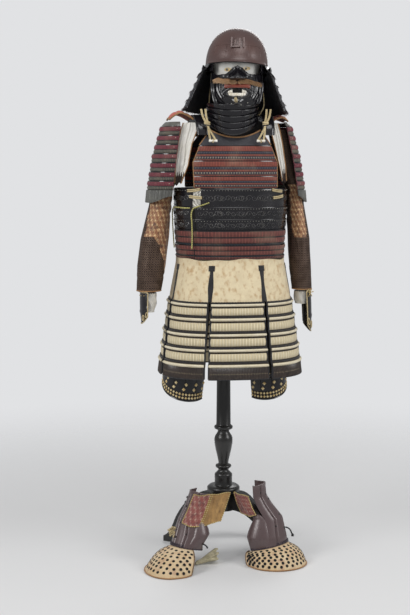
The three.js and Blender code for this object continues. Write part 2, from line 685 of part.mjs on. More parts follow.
/** A padded shoulder wing: it arches over the shoulder and narrows towards its outer edge. */
function shoulderWing({ inner, crown, outer, top, foot, sign }) {
  const skin = (x, v, inset) => {
    const away = x < crown ? (crown - x) / (crown - inner) : (x - crown) / (outer - crown);
    const reach = WING.reach - WING.taper * (x > crown ? away : 0) ** 2;
    const z = top - (top - foot) * away ** 1.6 - WING.sag * v * v;
    return vec(sign * x, v * reach, z - inset * WING.padding);
  };
  const us = [...steps(inner, crown, 3), ...steps(crown, outer, 3).slice(1)];
  return wall({ us, vs: steps(-1, 1, 5), skin });
}

const SLEEVES = { // sections of each sleeve; x is signed
  right: [
    { z: 1468, x: -172, y: 0, rx: 36, ry: 54 },
    { z: 1330, x: -206, y: 0, rx: 40, ry: 54 },
    { z: 1272, x: -230, y: -2, rx: 36, ry: 52 },
    { z: 1218, x: -237, y: -6, rx: 37, ry: 50 },
    { z: 1105, x: -258, y: -20, rx: 46, ry: 52 },
    { z: 1018, x: -270, y: -32, rx: 47, ry: 50 },
    { z: 932, x: -281, y: -44, rx: 40, ry: 42 },
  ],
  left: [
    { z: 1468, x: 166, y: 0, rx: 34, ry: 54 },
    { z: 1330, x: 196, y: 0, rx: 35, ry: 54 },
    { z: 1272, x: 221, y: -2, rx: 27, ry: 52 },
    { z: 1218, x: 223, y: -6, rx: 29, ry: 50 },
    { z: 1105, x: 234, y: -20, rx: 36, ry: 52 },
    { z: 1018, x: 237, y: -32, rx: 36, ry: 50 },
    { z: 932, x: 242, y: -44, rx: 32, ry: 42 },
  ],
};

/** An armoured sleeve: a tube of cloth under mail and splints, open at the shoulder and the wrist. */
function sleeve(sections) {
  const us = steps(0, 360, 12).slice(0, 12);
  const vs = [1468, 1400, ...sections.slice(1).map((s) => s.z)];
  const skin = (u, z, inset) => oval(rowAt(sections, z), u, z, inset ? -SHELL : 0);
  return wall({ us, vs, skin, ring: true });
}

const HANDS = { // back of the hand: centre line and half widths, from the wrist to the finger tips
  right: { wrist: { x: -282, y: -45 }, tips: { x: -285, y: -56 }, sign: -1, top: 931, bottom: 824 },
  left: { wrist: { x: 243, y: -45 }, tips: { x: 248, y: -56 }, sign: 1, top: 931, bottom: 788 },
};
const HAND = { spread: 78, rise: 26, rx: 30, ry: 42 }; // angle to its sides, and its half widths

/** The hand guard: a lacquered plate curved over the back of the hand, rounded at the fingers. */
function handGuard({ wrist, tips, sign, top, bottom }) {
  const skin = (u, share, inset) => {
    const edge = bottom + HAND.rise * (u / HAND.spread) ** 2;
    const x = lerp(wrist.x, tips.x, share);
    const y = lerp(wrist.y, tips.y, share);
    const section = { x, y, rx: HAND.rx - 6 * share, ry: HAND.ry - 4 * share };
    return oval(section, sign * (90 - u), lerp(top, edge, share), -inset * PLATE);
  };
  return wall({ us: steps(-HAND.spread, HAND.spread, 8), vs: [0, 0.35, 0.7, 1], skin });
}

const ARMPITS = { // the white cloth before each armpit: its edge by the body and its outer edge
  right: [
    { z: 1490, inX: -134, inY: -84, outX: -168, outY: -62 },
    { z: 1465, inX: -133, inY: -93, outX: -177, outY: -66 },
    { z: 1420, inX: -142, inY: -98, outX: -184, outY: -68 },
    { z: 1350, inX: -154, inY: -92, outX: -193, outY: -68 },
    { z: 1288, inX: -176, inY: -76, outX: -196, outY: -66 },
  ],
  left: [
    { z: 1490, inX: 132, inY: -84, outX: 152, outY: -68 },
    { z: 1465, inX: 131, inY: -93, outX: 158, outY: -72 },
    { z: 1420, inX: 138, inY: -98, outX: 166, outY: -74 },
    { z: 1350, inX: 151, inY: -92, outX: 176, outY: -72 },
    { z: 1296, inX: 164, inY: -82, outX: 180, outY: -72 },
  ],
};

/** The white cloth strip that shows between the cuirass and the shoulder guard. */
function armpitCloth(rows) {
  const skin = (u, z, inset) => {
    const { inX, inY, outX, outY } = rowAt(rows, z);
    const fold = 5 * sin(rad(200 * u)) + inset * CLOTH;
    return vec(lerp(inX, outX, u), lerp(inY, outY, u) + fold, z);
  };
  return wall({ us: steps(0, 1, 5), vs: rows.map((row) => row.z), skin });
}

for (const { side, sign } of SIDES) {
  add("shoulder_guard_" + side, shoulderGuard(side, sign), "crimsonLacing");
  add("shoulder_wing_" + side, shoulderWing(WINGS[side]), "redLacing");
  add("sleeve_" + side, sleeve(SLEEVES[side]), "brocade");
  add("hand_guard_" + side, handGuard(HANDS[side]), "blackLacquer");
  add("armpit_cloth_" + side, armpitCloth(ARMPITS[side]), "whiteCloth");
}

// ---------------------------------------------------------------- shin guards and foot guards

const SHINS = { // sections of each shin guard, leaning outwards down the stand's front legs
  right: {
    sections: [
      { z: 245, x: -95, y: -40, rx: 45, ry: 46 },
      { z: 190, x: -118, y: -54, rx: 47, ry: 48 },
      { z: 150, x: -138, y: -68, rx: 50, ry: 50 },
      { z: 110, x: -142, y: -82, rx: 61, ry: 54 },
      { z: 75, x: -160, y: -98, rx: 54, ry: 50 },
      { z: 40, x: -158, y: -108, rx: 46, ry: 46 },
    ],
    plates: { from: -160, to: 62, faces: -55 },
    cloth: { from: -44, to: 104, top: 237, bottom: 140, turn: [-44, 16], reach: 52 },
    ankle: { high: 74, low: 48 },
    foot: { x: -222, y: -150, rx: 88, ry: 100, from: -150, to: 14, ahead: 30 },
  },
  left: {
    sections: [
      { z: 265, x: 76, y: -40, rx: 42, ry: 44 },
      { z: 222, x: 78, y: -44, rx: 44, ry: 46 },
      { z: 190, x: 92, y: -54, rx: 50, ry: 50 },
      { z: 150, x: 116, y: -66, rx: 58, ry: 54 },
      { z: 90, x: 112, y: -86, rx: 74, ry: 58 },
      { z: 30, x: 122, y: -102, rx: 66, ry: 50 },
    ],
    plates: { from: -62, to: 160, faces: 55 },
    cloth: { from: -112, to: -30, top: 226, bottom: 158, turn: [-64, -30], reach: 52 },
    ankle: { high: 68, low: 36 },
    foot: { x: 143, y: -128, rx: 104, ry: 92, from: -84, to: 118, ahead: 0 },
  },
};
const SHIN_ROWS = [0, 0.2, 0.4, 0.6, 0.8, 1];

/** Height of a shin guard's lower edge at an angle: high on the side it faces, low on the other. */
function ankleEdge({ plates, ankle }, angle) {
  return lerp(ankle.low, ankle.high, (1 + cos(rad(angle - plates.faces))) / 2);
}

/** The shin plates, hinged side by side round the front of the shin; open at the back. */
function shinGuard(shin) {
  const top = shin.sections[0].z;
  const skin = (u, share, inset) => {
    const z = lerp(top, ankleEdge(shin, u), share);
    return oval(rowAt(shin.sections, z), u, z, -inset * PLATE);
  };
  const { from, to, faces } = shin.plates;
  const us = steps(from, to, 12);
  const underCloth = (i) => us[i + (faces > 0)] * Math.sign(-faces) > 8; // the upper corner is cut away
  return wall({ us, vs: SHIN_ROWS, skin, keep: (i, j) => !(underCloth(i) && j < 2) });
}

const KNEE_CLEAR = 5; // the knee cloth stands off the shin plates

/** The brocade knee cloth, folded down over the shin plates. */
function kneeCloth({ sections, cloth }) {
  const skin = (u, share, inset) => {
    const z = lerp(cloth.top, cloth.bottom, share);
    const turn = clamp(u, cloth.turn[0], cloth.turn[1]); // past here the cloth runs on flat, off the leg
    const out = inset ? KNEE_CLEAR : KNEE_CLEAR + CLOTH;
    const run = rad(u - turn) * cloth.reach;
    const onLeg = oval(rowAt(sections, z), turn, z, out);
    return onLeg.add(vec(run * cos(rad(turn)), run * sin(rad(turn)), 0));
  };
  return wall({ us: steps(cloth.from, cloth.to, 8), vs: [0, 0.33, 0.66, 1], skin });
}

const INSTEP = 9.6; // the foot guard swells out and up this far over the instep

/** A foot guard: perforated leather from the ankle down to the floor round the front of the foot. */
function footGuard(shin) {
  const { foot } = shin;
  const skin = (u, share, inset) => {
    const z0 = ankleEdge(shin, u) - SEAM;
    const ankle = oval(rowAt(shin.sections, z0), u, z0, -inset * CLOTH);
    const floor = oval(foot, u + foot.ahead * smoothstep(u, -60, 14), 0, -inset * CLOTH);
    const swell = INSTEP * sin(rad(180 * share)) * (1 - inset * 0.12);
    const out = vec(floor.x - foot.x, floor.y - foot.y, 0).setLength(swell);
    return ankle.lerp(floor, share).add(out).add(vec(0, 0, share < 1 ? swell : 0));
  };
  return wall({ us: steps(foot.from, foot.to, 10), vs: [0, 0.3, 0.65, 1], skin });
}

const TIE = [ // the bundled cloth tie on the floor behind the right foot guard
  { x: -132, y: -118, z: 9, r: 7 },
  { x: -112, y: -108, z: 12, r: 10 },
  { x: -88, y: -100, z: 20, r: 16 },
  { x: -66, y: -96, z: 26, r: 22 },
  { x: -56, y: -94, z: 27, r: 20 },
];

/** The cloth tie, gathered thin at the foot guard and spread at its free end. */
function floorTie() {
  const turn = steps(0, 360, 10).slice(0, 10).map(rad);
  const ring = ({ x, y, z, r }) => turn.map((a) => vec(x, y + r * cos(a), max(0, z + r * sin(a))));
  return loft(TIE.map(ring));
}

for (const { side } of SIDES) {
  const shin = SHINS[side];
  add("shin_guard_" + side, shinGuard(shin), "ironMauve");
  add("knee_cloth_" + side, kneeCloth(shin), "redBrocade");
  add("foot_guard_" + side, footGuard(shin), "creamLeather");
}
add("floor_tie", floorTie(), "creamCord");

// The origin is under the middle of the armour's box, on the floor.
armour.updateMatrixWorld(true);
const middle = new THREE.Box3().setFromObject(armour).getCenter(vec(0, 0, 0));
armour.position.set(-middle.x, -middle.y, 0);

export default armour;
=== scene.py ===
"""Samurai armour on a turned display stand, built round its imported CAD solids.

The set is hung hollow: helmet with its laced neck guard, face mask and throat guard, laced cuirass,
leather skirt with seven tassets, thigh guards, shoulder guards, armoured sleeves, shin guards with
brocade knee cloths, and perforated leather foot guards. Tables are in millimetres from the armour's
upright axis, -Y to the front and +X to the wearer's left; angles are in degrees from the front,
positive towards +X. One function, `place`, turns them into metres in the part's frame.
"""

import bpy
import numpy as np
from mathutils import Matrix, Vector


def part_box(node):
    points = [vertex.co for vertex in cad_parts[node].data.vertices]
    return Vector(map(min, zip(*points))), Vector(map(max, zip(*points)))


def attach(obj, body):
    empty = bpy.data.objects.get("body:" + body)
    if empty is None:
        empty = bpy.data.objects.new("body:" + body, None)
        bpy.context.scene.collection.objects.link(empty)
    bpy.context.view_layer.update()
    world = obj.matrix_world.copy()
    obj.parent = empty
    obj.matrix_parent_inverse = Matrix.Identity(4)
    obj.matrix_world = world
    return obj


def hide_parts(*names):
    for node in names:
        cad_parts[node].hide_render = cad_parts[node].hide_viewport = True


bl_info = {
    "name": "Samurai armour on a stand",
    "version": (1, 0, 0),
    "blender": (4, 5, 0),
    "location": "View3D > Sidebar > Armour",
    "description": "Builds a laced samurai armour piece by piece round its packed solids",
    "category": "Add Mesh",
}

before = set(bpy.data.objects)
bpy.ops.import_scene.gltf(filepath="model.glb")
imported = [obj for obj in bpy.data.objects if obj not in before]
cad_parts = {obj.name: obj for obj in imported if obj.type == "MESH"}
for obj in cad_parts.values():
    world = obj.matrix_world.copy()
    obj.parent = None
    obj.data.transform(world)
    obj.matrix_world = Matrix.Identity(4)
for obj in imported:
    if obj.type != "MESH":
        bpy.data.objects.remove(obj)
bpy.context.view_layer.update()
STAND_AT = np.array([-14.0, 40.0, 0.0])
_column = np.array(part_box("stand_column")) * 1000
SHIFT = _column.mean(0) * [1, 1, 0] - STAND_AT  # from the armour's axis to the part's origin, in mm
RANDOM = 7  # every scatter starts from this seed
SIDES = (("right", -1), ("left", 1))  # the wearer's, and the sign of x there

# ---------------------------------------------------------------- numbers and tables


def table(columns, *rows):
    """Rows of numbers under named columns, as a dict of arrays that rise with the first column."""
    values = np.array(sorted(rows), float)
    return dict(zip(columns.split(), values.T))


def look(rows, column, at):
    """A table's column at any value of its first column, blended between the rows."""
    return np.interp(at, next(iter(rows.values())), rows[column])


def ease(x, a, b):
    """0 before a, 1 after b, and 3t^2 - 2t^3 between."""
    t = np.clip((np.asarray(x, float) - a) / (b - a), 0, 1)
    return t * t * (3 - 2 * t)


def bump(x, middle, reach):
    """A soft hill: exp(-((x - middle) / reach)^2)."""
    return np.exp(-(((x - middle) / reach) ** 2))


def lerp(a, b, t):
    return a + (b - a) * t


def cells(first, last, n, start, end, m):
    """The two ways of a grid: a column of n even steps from first to last, a row of m from start to end."""
    return np.linspace(first, last, n)[:, None], np.linspace(start, end, m)[None]


def point(x, y, z):
    """One array of points from three arrays or numbers that share a shape."""
    return np.stack(np.broadcast_arrays(np.asarray(x, float), y, z), -1)


def turned(points, axis, degrees):
    """Points turned about the x, y or z axis through the origin."""
    a, b = {"x": (1, 2), "y": (2, 0), "z": (0, 1)}[axis]
    c, s = np.cos(np.radians(degrees)), np.sin(np.radians(degrees))
    out = np.array(points, float)
    p, q = points[..., a], points[..., b]
    out[..., a], out[..., b] = c * p - s * q, s * p + c * q
    return out


def place(points):
    """Millimetres from the armour's axis to metres in the part's frame: (p + shift) / 1000."""
    return (np.asarray(points, float) + SHIFT) / 1000


def path(points, steps):
    """A smooth path through points: cubic Hermite spans with chord-length tangents, as an array."""
    p = np.array(points, float)
    gap = np.linalg.norm(np.diff(p, axis=0), axis=1)
    t = np.concatenate([[0], np.cumsum(gap)])
    slope = np.gradient(p, t, axis=0) if len(p) > 2 else np.repeat(np.diff(p, axis=0) / gap, 2, 0)
    at = np.linspace(0, t[-1], steps)
    k = np.clip(np.searchsorted(t, at, "right") - 1, 0, len(p) - 2)
    h = (t[k + 1] - t[k])[:, None]
    s = ((at - t[k])[:, None]) / h
    return (
        (2 * s**3 - 3 * s**2 + 1) * p[k]
        + (s**3 - 2 * s**2 + s) * h * slope[k]
        + (3 * s**2 - 2 * s**3) * p[k + 1]
        + (s**3 - s**2) * h * slope[k + 1]
    )


# ---------------------------------------------------------------- patches: arrays that become a mesh


def grid(points, us=None, vs=None, ring=False, belt=False, slot=0):
    """One quad per cell of points[i, j]; ring joins the last i to the first, belt the last j to the first.
    us and vs are the map's values along i and j, one more than the points where that way is closed."""
    n, m = points.shape[:2]
    us = np.linspace(0, 1, n + ring) if us is None else np.asarray(us, float)
    vs = np.linspace(0, 1, m + belt) if vs is None else np.asarray(vs, float)
    i, j = np.meshgrid(np.arange(n - 1 + ring), np.arange(m - 1 + belt), indexing="ij")
    corner = [(i, j), (i + 1, j), (i + 1, j + 1), (i, j + 1)]
    ids = np.stack([(a % n) * m + b % m for a, b in corner], -1).reshape(-1, 4)
    uv = np.stack([np.stack([us[a], vs[b]], -1) for a, b in corner], -2).reshape(-1, 4, 2)
    return {"v": points.reshape(-1, 3), "quads": ids, "uv": uv, "caps": [], "slot": slot}


def joined(*patches):
    """Patches of one slot as one patch."""
    base = np.cumsum([0] + [len(p["v"]) for p in patches])
    return {
        "v": np.concatenate([p["v"] for p in patches]),
        "quads": np.concatenate([p["quads"] + b for p, b in zip(patches, base)]),
        "uv": np.concatenate([p["uv"] for p in patches]),
        "caps": [[i + int(b) for i in cap] for p, b in zip(patches, base) for cap in p["caps"]],
        "slot": patches[0]["slot"],
    }


def outward(patch):
    """The patch with its faces turned over if it holds a negative volume."""
    p = patch["v"] - patch["v"].mean(0)
    q = patch["quads"]
    volume = np.einsum("ij,ij->", p[q[:, 0]],
                       np.cross(p[q[:, 1]], p[q[:, 2]]) + np.cross(p[q[:, 2]], p[q[:, 3]]))
    for cap in patch["caps"]:
        c = p[cap]
        volume += np.einsum("ij,ij->", np.repeat(c[:1], len(c) - 2, 0), np.cross(c[1:-1], c[2:]))
    if volume >= 0:
        return patch
    caps = [cap[::-1] for cap in patch["caps"]]
    return {**patch, "quads": q[:, ::-1], "uv": patch["uv"][:, ::-1], "caps": caps}


def walled(outer, inner, us=None, vs=None, ring=False, slot=0):
    """A closed wall: the outer skin points[i, j], the inner one, and the edges between them. The inner
    skin may have fewer rows than the outer one if its first and last rows match."""
    n, m, k = outer.shape[0], outer.shape[1], inner.shape[1]
    skin = grid(outer, us, vs, ring, slot=slot)
    vs = np.linspace(0, 1, m) if vs is None else np.asarray(vs, float)
    lining = grid(inner, us, np.interp(np.linspace(0, m - 1, k), np.arange(m), vs), ring, slot=slot)
    lining["quads"], lining["uv"] = lining["quads"][:, ::-1], lining["uv"][:, ::-1]
    patch = joined(skin, lining)
    i = np.arange(n - 1 + ring)
    a, b, base = i * m, (i + 1) % n * m, n * m
    c, d = base + i * k, base + (i + 1) % n * k
    top = np.stack([b, a, c, d], -1)
    bottom = np.stack([a + m - 1, b + m - 1, d + k - 1, c + k - 1], -1)
    rims = np.concatenate([top, bottom])
    patch["quads"] = np.concatenate([patch["quads"], rims])
    ends = skin["uv"].reshape(n - 1 + ring, m - 1, 4, 2)
    rim_uv = np.concatenate([ends[:, 0][:, [1, 0, 0, 1]], ends[:, -1][:, [3, 2, 2, 3]]])
    patch["uv"] = np.concatenate([patch["uv"], rim_uv])
    if not ring:
        rows = np.round(np.linspace(0, m - 1, k)).astype(int)
        for end, turn in ((0, 1), (n - 1, -1)):
            for s in range(k - 1):
                out = [end * m + r for r in range(rows[s], rows[s + 1] + 1)]
                patch["caps"].append((out + [base + end * k + s + 1, base + end * k + s])[::turn])
    return outward(patch)


def tube(line, radius, sides=8, turns=0.0, lobes=0, depth=0.0, slot=0, ring=False):
    """A section carried along a line: r(s, t) = radius(s) (1 - depth + depth |cos(lobes (t - turns s) / 2)|),
    with s along the line in mm. Its ends are capped unless it is a ring."""
    line = np.asarray(line, float)
    along = np.roll(line, -1, 0) - np.roll(line, 1, 0) if ring else np.gradient(line, axis=0)
    along /= np.linalg.norm(along, axis=1)[:, None]
    axis = np.eye(3)[np.argmin(np.abs(along).max(0))]
    side = np.cross(along, axis)
    side /= np.linalg.norm(side, axis=1)[:, None]
    up = np.cross(side, along)
    s = np.concatenate([[0], np.cumsum(np.linalg.norm(np.diff(line, axis=0), axis=1))])
    t = np.linspace(0, 2 * np.pi, sides + 1)[:-1]
    r = np.broadcast_to(radius, len(line))[:, None] * np.ones(sides)
    if lobes:
        r = r * (1 + depth * np.abs(np.cos(lobes * (t[None] - turns * s[:, None]) / 2)) - depth)
    ring_points = line[:, None] + side[:, None] * (r * np.cos(t))[..., None]
    ring_points += up[:, None] * (r * np.sin(t))[..., None]
    patch = grid(ring_points, None if ring else s, ring=ring, belt=True, slot=slot)
    if not ring:
        last = (len(line) - 1) * sides
        patch["caps"] = [list(range(sides))[::-1], [last + k for k in range(sides)]]
    return outward(patch)


def strand(line, radius, sides=8, turns=0.4, depth=0.25, **rest):
    """A tube of two strands laid round each other, the twist of a braided or twisted silk cord."""
    return tube(line, radius, sides, turns=turns, lobes=2, depth=depth, **rest)


def lathe(profile, sides, centre=(0, 0), slot=0):
    """A profile of (z, r) rows turned about an upright line; its ends are capped."""
    z, r = np.array(profile, float).T
    a = np.linspace(0, 2 * np.pi, sides + 1)[:-1, None]
    points = point(centre[0] + r * np.sin(a), centre[1] - r * np.cos(a), z + 0 * a)
    patch = grid(points, ring=True, slot=slot)
    m = len(z)
    patch["caps"] = [[k * m for k in range(sides)][::-1], [k * m + m - 1 for k in range(sides)]]
    return outward(patch)


def board(outline, low, high):
    """An outline of (x, z) points given a thickness along y from low to high."""
    x, z = np.array(outline, float).T
    points = np.stack([point(x, low, z), point(x, high, z)], 1)
    patch = grid(points, ring=True)
    n = len(x)
    patch["caps"] = [[2 * k for k in range(n)], [2 * k + 1 for k in range(n)][::-1]]
    return outward(patch)


def copies(shape, at, along=None, up=None, slot=0):
    """A small patch put at many points; each copy's x, y, z follow across, along and up there."""
    at = np.asarray(at, float).reshape(-1, 3)
    n, k = len(at), len(shape["v"])
    up = np.broadcast_to([0, 0, 1.0] if up is None else up, at.shape)
    along = np.broadcast_to([0, 1.0, 0] if along is None else along, at.shape)
    up = up / np.linalg.norm(up, axis=1)[:, None]
    across = np.cross(along, up)
    across /= np.linalg.norm(across, axis=1)[:, None]
    along = np.cross(up, across)
    v = shape["v"]
    points = at[:, None] + across[:, None] * v[:, :1] + along[:, None] * v[:, 1:2] + up[:, None] * v[:, 2:]
    base = np.arange(n)[:, None, None] * k
    return {
        "v": points.reshape(-1, 3),
        "quads": (shape["quads"][None] + base).reshape(-1, 4),
        "uv": np.tile(shape["uv"], (n, 1, 1)),
        "caps": [[i + b * k for i in cap] for b in range(n) for cap in shape["caps"]],
        "slot": slot,
    }


def dome(radius, height, sides=8, rows=2):
    """A rivet head: a low dome on a short neck, z up."""
    a = np.linspace(0, np.pi / 2, rows + 1)[:-1]
    profile = [(-height, radius)] + [(height * np.sin(t), radius * np.cos(t)) for t in a]
    profile.append((height * np.sin(np.pi / 2 * 0.94), radius * np.cos(np.pi / 2 * 0.94)))
    return lathe(profile, sides)


def piece(name, patches, materials, replaces=(), sharp=40, bevel=0.0):
    """One object from patches: its mesh in metres, its map, its materials, the finish slot it takes, the
    CAD nodes it stands for, and a bevel in mm where its edges need one. It rides on the one body."""
    patches = [p for p in patches if len(p["v"])]
    base = np.cumsum([0] + [len(p["v"]) for p in patches])
    vertices = place(np.concatenate([p["v"] for p in patches]))
    corners, totals, uvs, slots = [], [], [], []
    for p, b in zip(patches, base):
        corners.append(p["quads"].ravel() + b)
        totals.append(np.full(len(p["quads"]), 4))
        uvs.append(p["uv"].reshape(-1, 2))
        for cap in p["caps"]:
            corners.append(np.array(cap) + b)
            totals.append([len(cap)])
            uvs.append(np.zeros((len(cap), 2)))
        slots.append(np.broadcast_to(p["slot"], len(p["quads"]) + len(p["caps"])))
    corners, totals = np.concatenate(corners), np.concatenate(totals).astype(int)
    mesh = bpy.data.meshes.new(name)
    mesh.vertices.add(len(vertices))
    mesh.vertices.foreach_set("co", vertices.astype(np.float32).ravel())
    mesh.loops.add(len(corners))
    mesh.loops.foreach_set("vertex_index", corners.astype(np.int32))
    mesh.polygons.add(len(totals))
    mesh.polygons.foreach_set("loop_start", np.concatenate([[0], np.cumsum(totals)[:-1]]).astype(np.int32))
    mesh.polygons.foreach_set("material_index", np.concatenate(slots).astype(np.int32))
    mesh.polygons.foreach_set("use_smooth", np.ones(len(totals), bool))
    uv_map = mesh.uv_layers.new(name="map")
    uv_map.data.foreach_set("uv", np.concatenate(uvs).astype(np.float32).ravel())
    mesh.update(calc_edges=True)
    mesh.validate()
    if sharp:
        mesh.set_sharp_from_angle(angle=np.radians(sharp))
    made = bpy.data.objects.new(name, mesh)
    bpy.context.scene.collection.objects.link(made)
    for name in materials:
        mesh.materials.append(MATERIALS[name] if isinstance(name, str) else name)
    if bevel:
        edge = made.modifiers.new("edges", "BEVEL")
        edge.width, edge.segments, edge.limit_method = bevel / 1000, 2, "ANGLE"
    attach(made, "root")
    if replaces:
        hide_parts(*replaces)
    return made

# ---------------------------------------------------------------- materials


def linear(hex_colour):
    """An sRGB hex colour as the linear values that shaders take."""
    c = np.array([int(hex_colour[k : k + 2], 16) for k in (1, 3, 5)]) / 255
    return (*np.where(c <= 0.04045, c / 12.92, ((c + 0.055) / 1.055) ** 2.4), 1.0)


def add(tree, kind, *values, out=0, stops=(), hard=False, **settings):
    """Adds a node and returns its output `out`, or several. Values fill its sockets in order, or a dict
    names them. A hex string is a colour, and stops are a ramp's (position, hex or grey) pairs."""
    new = tree.nodes.new("ShaderNode" + kind)
    for name, value in settings.items():
        setattr(new, name, value)
    links = values[0] if values and isinstance(values[0], dict) else dict(enumerate(values))
    for socket, value in links.items():
        if isinstance(value, bpy.types.NodeSocket):
            tree.links.new(value, new.inputs[socket])
        else:
            new.inputs[socket].default_value = linear(value) if isinstance(value, str) else value
    if stops:
        new.color_ramp.interpolation = "CONSTANT" if hard else "LINEAR"
        while len(new.color_ramp.elements) < len(stops):
            new.color_ramp.elements.new(1.0)
        for element, (position, value) in zip(new.color_ramp.elements, stops):
            element.position = position
            element.color = linear(value) if isinstance(value, str) else (value, value, value, 1)
    return [new.outputs[o] for o in out] if isinstance(out, tuple) else new.outputs[out]


MATERIALS = {}
BLEND = {"out": 2, "data_type": "RGBA"}  # what a Mix takes where it blends colours 6 and 7 by share 0


def material(name, build):
    """A material from a function that adds its nodes and returns the main shader's settings."""
    made = bpy.data.materials.new(name)
    made.use_nodes = True
    tree = made.node_tree
    shader = tree.nodes["Principled BSDF"]
    for socket, value in build(tree).items():
        if isinstance(value, bpy.types.NodeSocket):
            tree.links.new(value, shader.inputs[socket])
        else:
            shader.inputs[socket].default_value = linear(value) if isinstance(value, str) else value
    MATERIALS[name] = made


def lacquer(base, worn, patch, roughness=0.35, coat=0.3, wear=0.6, blotch=50, metal=0.0, grain=0.25):
    """Urushi lacquer over iron or leather: thin coats brushed on, so the shine is deep and a little
    uneven, with red-brown where it is rubbed and a faint orange-peel of about 4 mm."""

    def build(t):
        where = add(t, "TexCoord", out="Object")
        cloud = add(t, "TexNoise", {"Vector": where, "Scale": 1000 / blotch, "Detail": 5.0})
        fine = add(t, "TexNoise", {"Vector": where, "Scale": 250.0, "Detail": 3.0})
        rubbed = add(t, "ValToRGB", cloud, stops=[(0.38, 0.0), (0.66, 1.0)])
        bare = add(t, "ValToRGB", fine, stops=[(wear, 0.0), (0.8, 1.0)])
        colour = add(t, "Mix", {0: rubbed, 6: base, 7: worn}, **BLEND)
        colour = add(t, "Mix", {0: bare, 6: colour, 7: patch}, **BLEND)
        shine = add(t, "MapRange", fine, 0.3, 0.7, roughness * 0.75, roughness * 1.35)
        skin = add(t, "Bump", {"Height": fine, "Distance": grain / 1000})
        return {"Base Color": colour, "Roughness": shine, "Metallic": metal, "Coat Weight": coat,
                "Coat Roughness": roughness * 0.6, "Normal": skin}

    return build


def silk_lacing(bands, painted_groove_shade="#17151a", pair=2, faded=0.35, shade=1.0):
    """Kebiki-odoshi: flat braided silk, about 4 mm wide, set cord by cord with no gap. Each band down a
    lame has its own dye, and two dyes where the cords alternate. Across the map one unit is one cord,
    and down it one unit is one lame; the braid's ribs slant both ways from its middle. Each cord is given
    painted shade, darkening to painted_groove_shade towards its edges and across its ribs; shade is how far
    the ribs and the random differences between cords darken towards that colour."""

    def build(t):
        x, y = add(t, "SeparateXYZ", add(t, "TexCoord", out="UV"), out=(0, 1))
        down = add(t, "Math", y, operation="FRACT")
        starts = [0.0, *(band[0] for band in bands[:-1])]
        even = add(t, "ValToRGB", down, stops=[(s, b[2]) for s, b in zip(starts, bands)], hard=True)
        odd = add(t, "ValToRGB", down, stops=[(s, b[3]) for s, b in zip(starts, bands)], hard=True)
        number = add(t, "Math", x, operation="FLOOR")
        share = add(t, "Math", add(t, "Math", number, float(pair), operation="DIVIDE"), operation="FRACT")
        is_odd = add(t, "Math", share, 0.3, operation="GREATER_THAN")
        colour = add(t, "Mix", {0: is_odd, 6: even, 7: odd}, **BLEND)
        off = add(t, "Math", add(t, "Math", x, operation="FRACT"), 0.5, operation="SUBTRACT")
        off = add(t, "Math", off, operation="ABSOLUTE")
        # painted shade: each cord darkens towards its two edges, where it meets the next
        painted_cord_edge_shade = add(t, "ValToRGB", off, stops=[(0.3, 0.0), (0.5, 0.75)])
        colour = add(t, "Mix", {0: painted_cord_edge_shade, 6: colour, 7: painted_groove_shade}, **BLEND)
        # painted shade along the braid's slanting ribs, scaled by shade
        slant = add(t, "Math", y, 11.0, off, operation="MULTIPLY_ADD")
        rib = add(t, "Math", slant, 0.5, operation="PINGPONG")
        soft = add(t, "MapRange", rib, 0.0, 0.5, 0.3 * shade, 0.0)
        colour = add(t, "Mix", {0: soft, 6: colour, 7: painted_groove_shade}, **BLEND)
        quarter = add(t, "Math", add(t, "Math", y, 4.0, operation="MULTIPLY"), operation="FLOOR")
        cell = add(t, "CombineXYZ", number, quarter)
        each = add(t, "MapRange", add(t, "TexWhiteNoise", cell), 0.0, 1.0, 0.0, 0.25 * shade)
        colour = add(t, "Mix", {0: each, 6: colour, 7: painted_groove_shade}, **BLEND)
        where = add(t, "TexCoord", out="Object")
        wear = add(t, "TexNoise", {"Vector": where, "Scale": 1000 / 70, "Detail": 5.0})
        wear = add(t, "ValToRGB", wear, stops=[(0.5, 0.0), (0.8, faded)])
        colour = add(t, "Mix", {0: wear, 6: colour, 7: "#a8967e"}, **BLEND)
        skin = add(t, "Bump", {"Height": rib, "Distance": 0.0006})
        return {"Base Color": colour, "Roughness": 0.72, "Sheen Weight": 0.2, "Sheen Roughness": 0.4,
                "Normal": skin}

    return build


def silk_cord(main, shade, fleck=None, twist=0.28, worn=0.5):
    """Braided or twisted silk cord: slanting strands along the map, in mm, each with painted light on its
    crown and painted shade, the shade colour, where it meets the next; a fleck colour marks some strands."""

    def build(t):
        x, y = add(t, "SeparateXYZ", add(t, "TexCoord", out="UV"), out=(0, 1))
        turn = add(t, "Math", y, 2.0, operation="MULTIPLY")
        slant = add(t, "Math", x, twist, turn, operation="MULTIPLY_ADD")
        lay = add(t, "Math", slant, 0.5, operation="PINGPONG")
        # painted light on each strand's crown, painted shade where strands meet
        crown = add(t, "ValToRGB", lay, stops=[(0.02, 0.0), (0.3, 1.0)])
        colour = add(t, "Mix", {0: crown, 6: shade, 7: main}, **BLEND)
        if fleck:
            share = add(t, "Math", add(t, "Math", slant, 0.5, operation="MULTIPLY"), operation="FRACT")
            is_fleck = add(t, "Math", share, 0.6, operation="GREATER_THAN")
            colour = add(t, "Mix", {0: is_fleck, 6: colour, 7: fleck}, **BLEND)
        where = add(t, "TexCoord", out="Object")
        cloud = add(t, "TexNoise", {"Vector": where, "Scale": 1000 / 30, "Detail": 4.0})
        cloud = add(t, "ValToRGB", cloud, stops=[(0.4, 0.0), (0.75, worn)])
        colour = add(t, "Mix", {0: cloud, 6: colour, 7: shade}, **BLEND)
        skin = add(t, "Bump", {"Height": lay, "Distance": 0.0008})
        return {"Base Color": colour, "Roughness": 0.7, "Sheen Weight": 0.2, "Normal": skin}

    return build


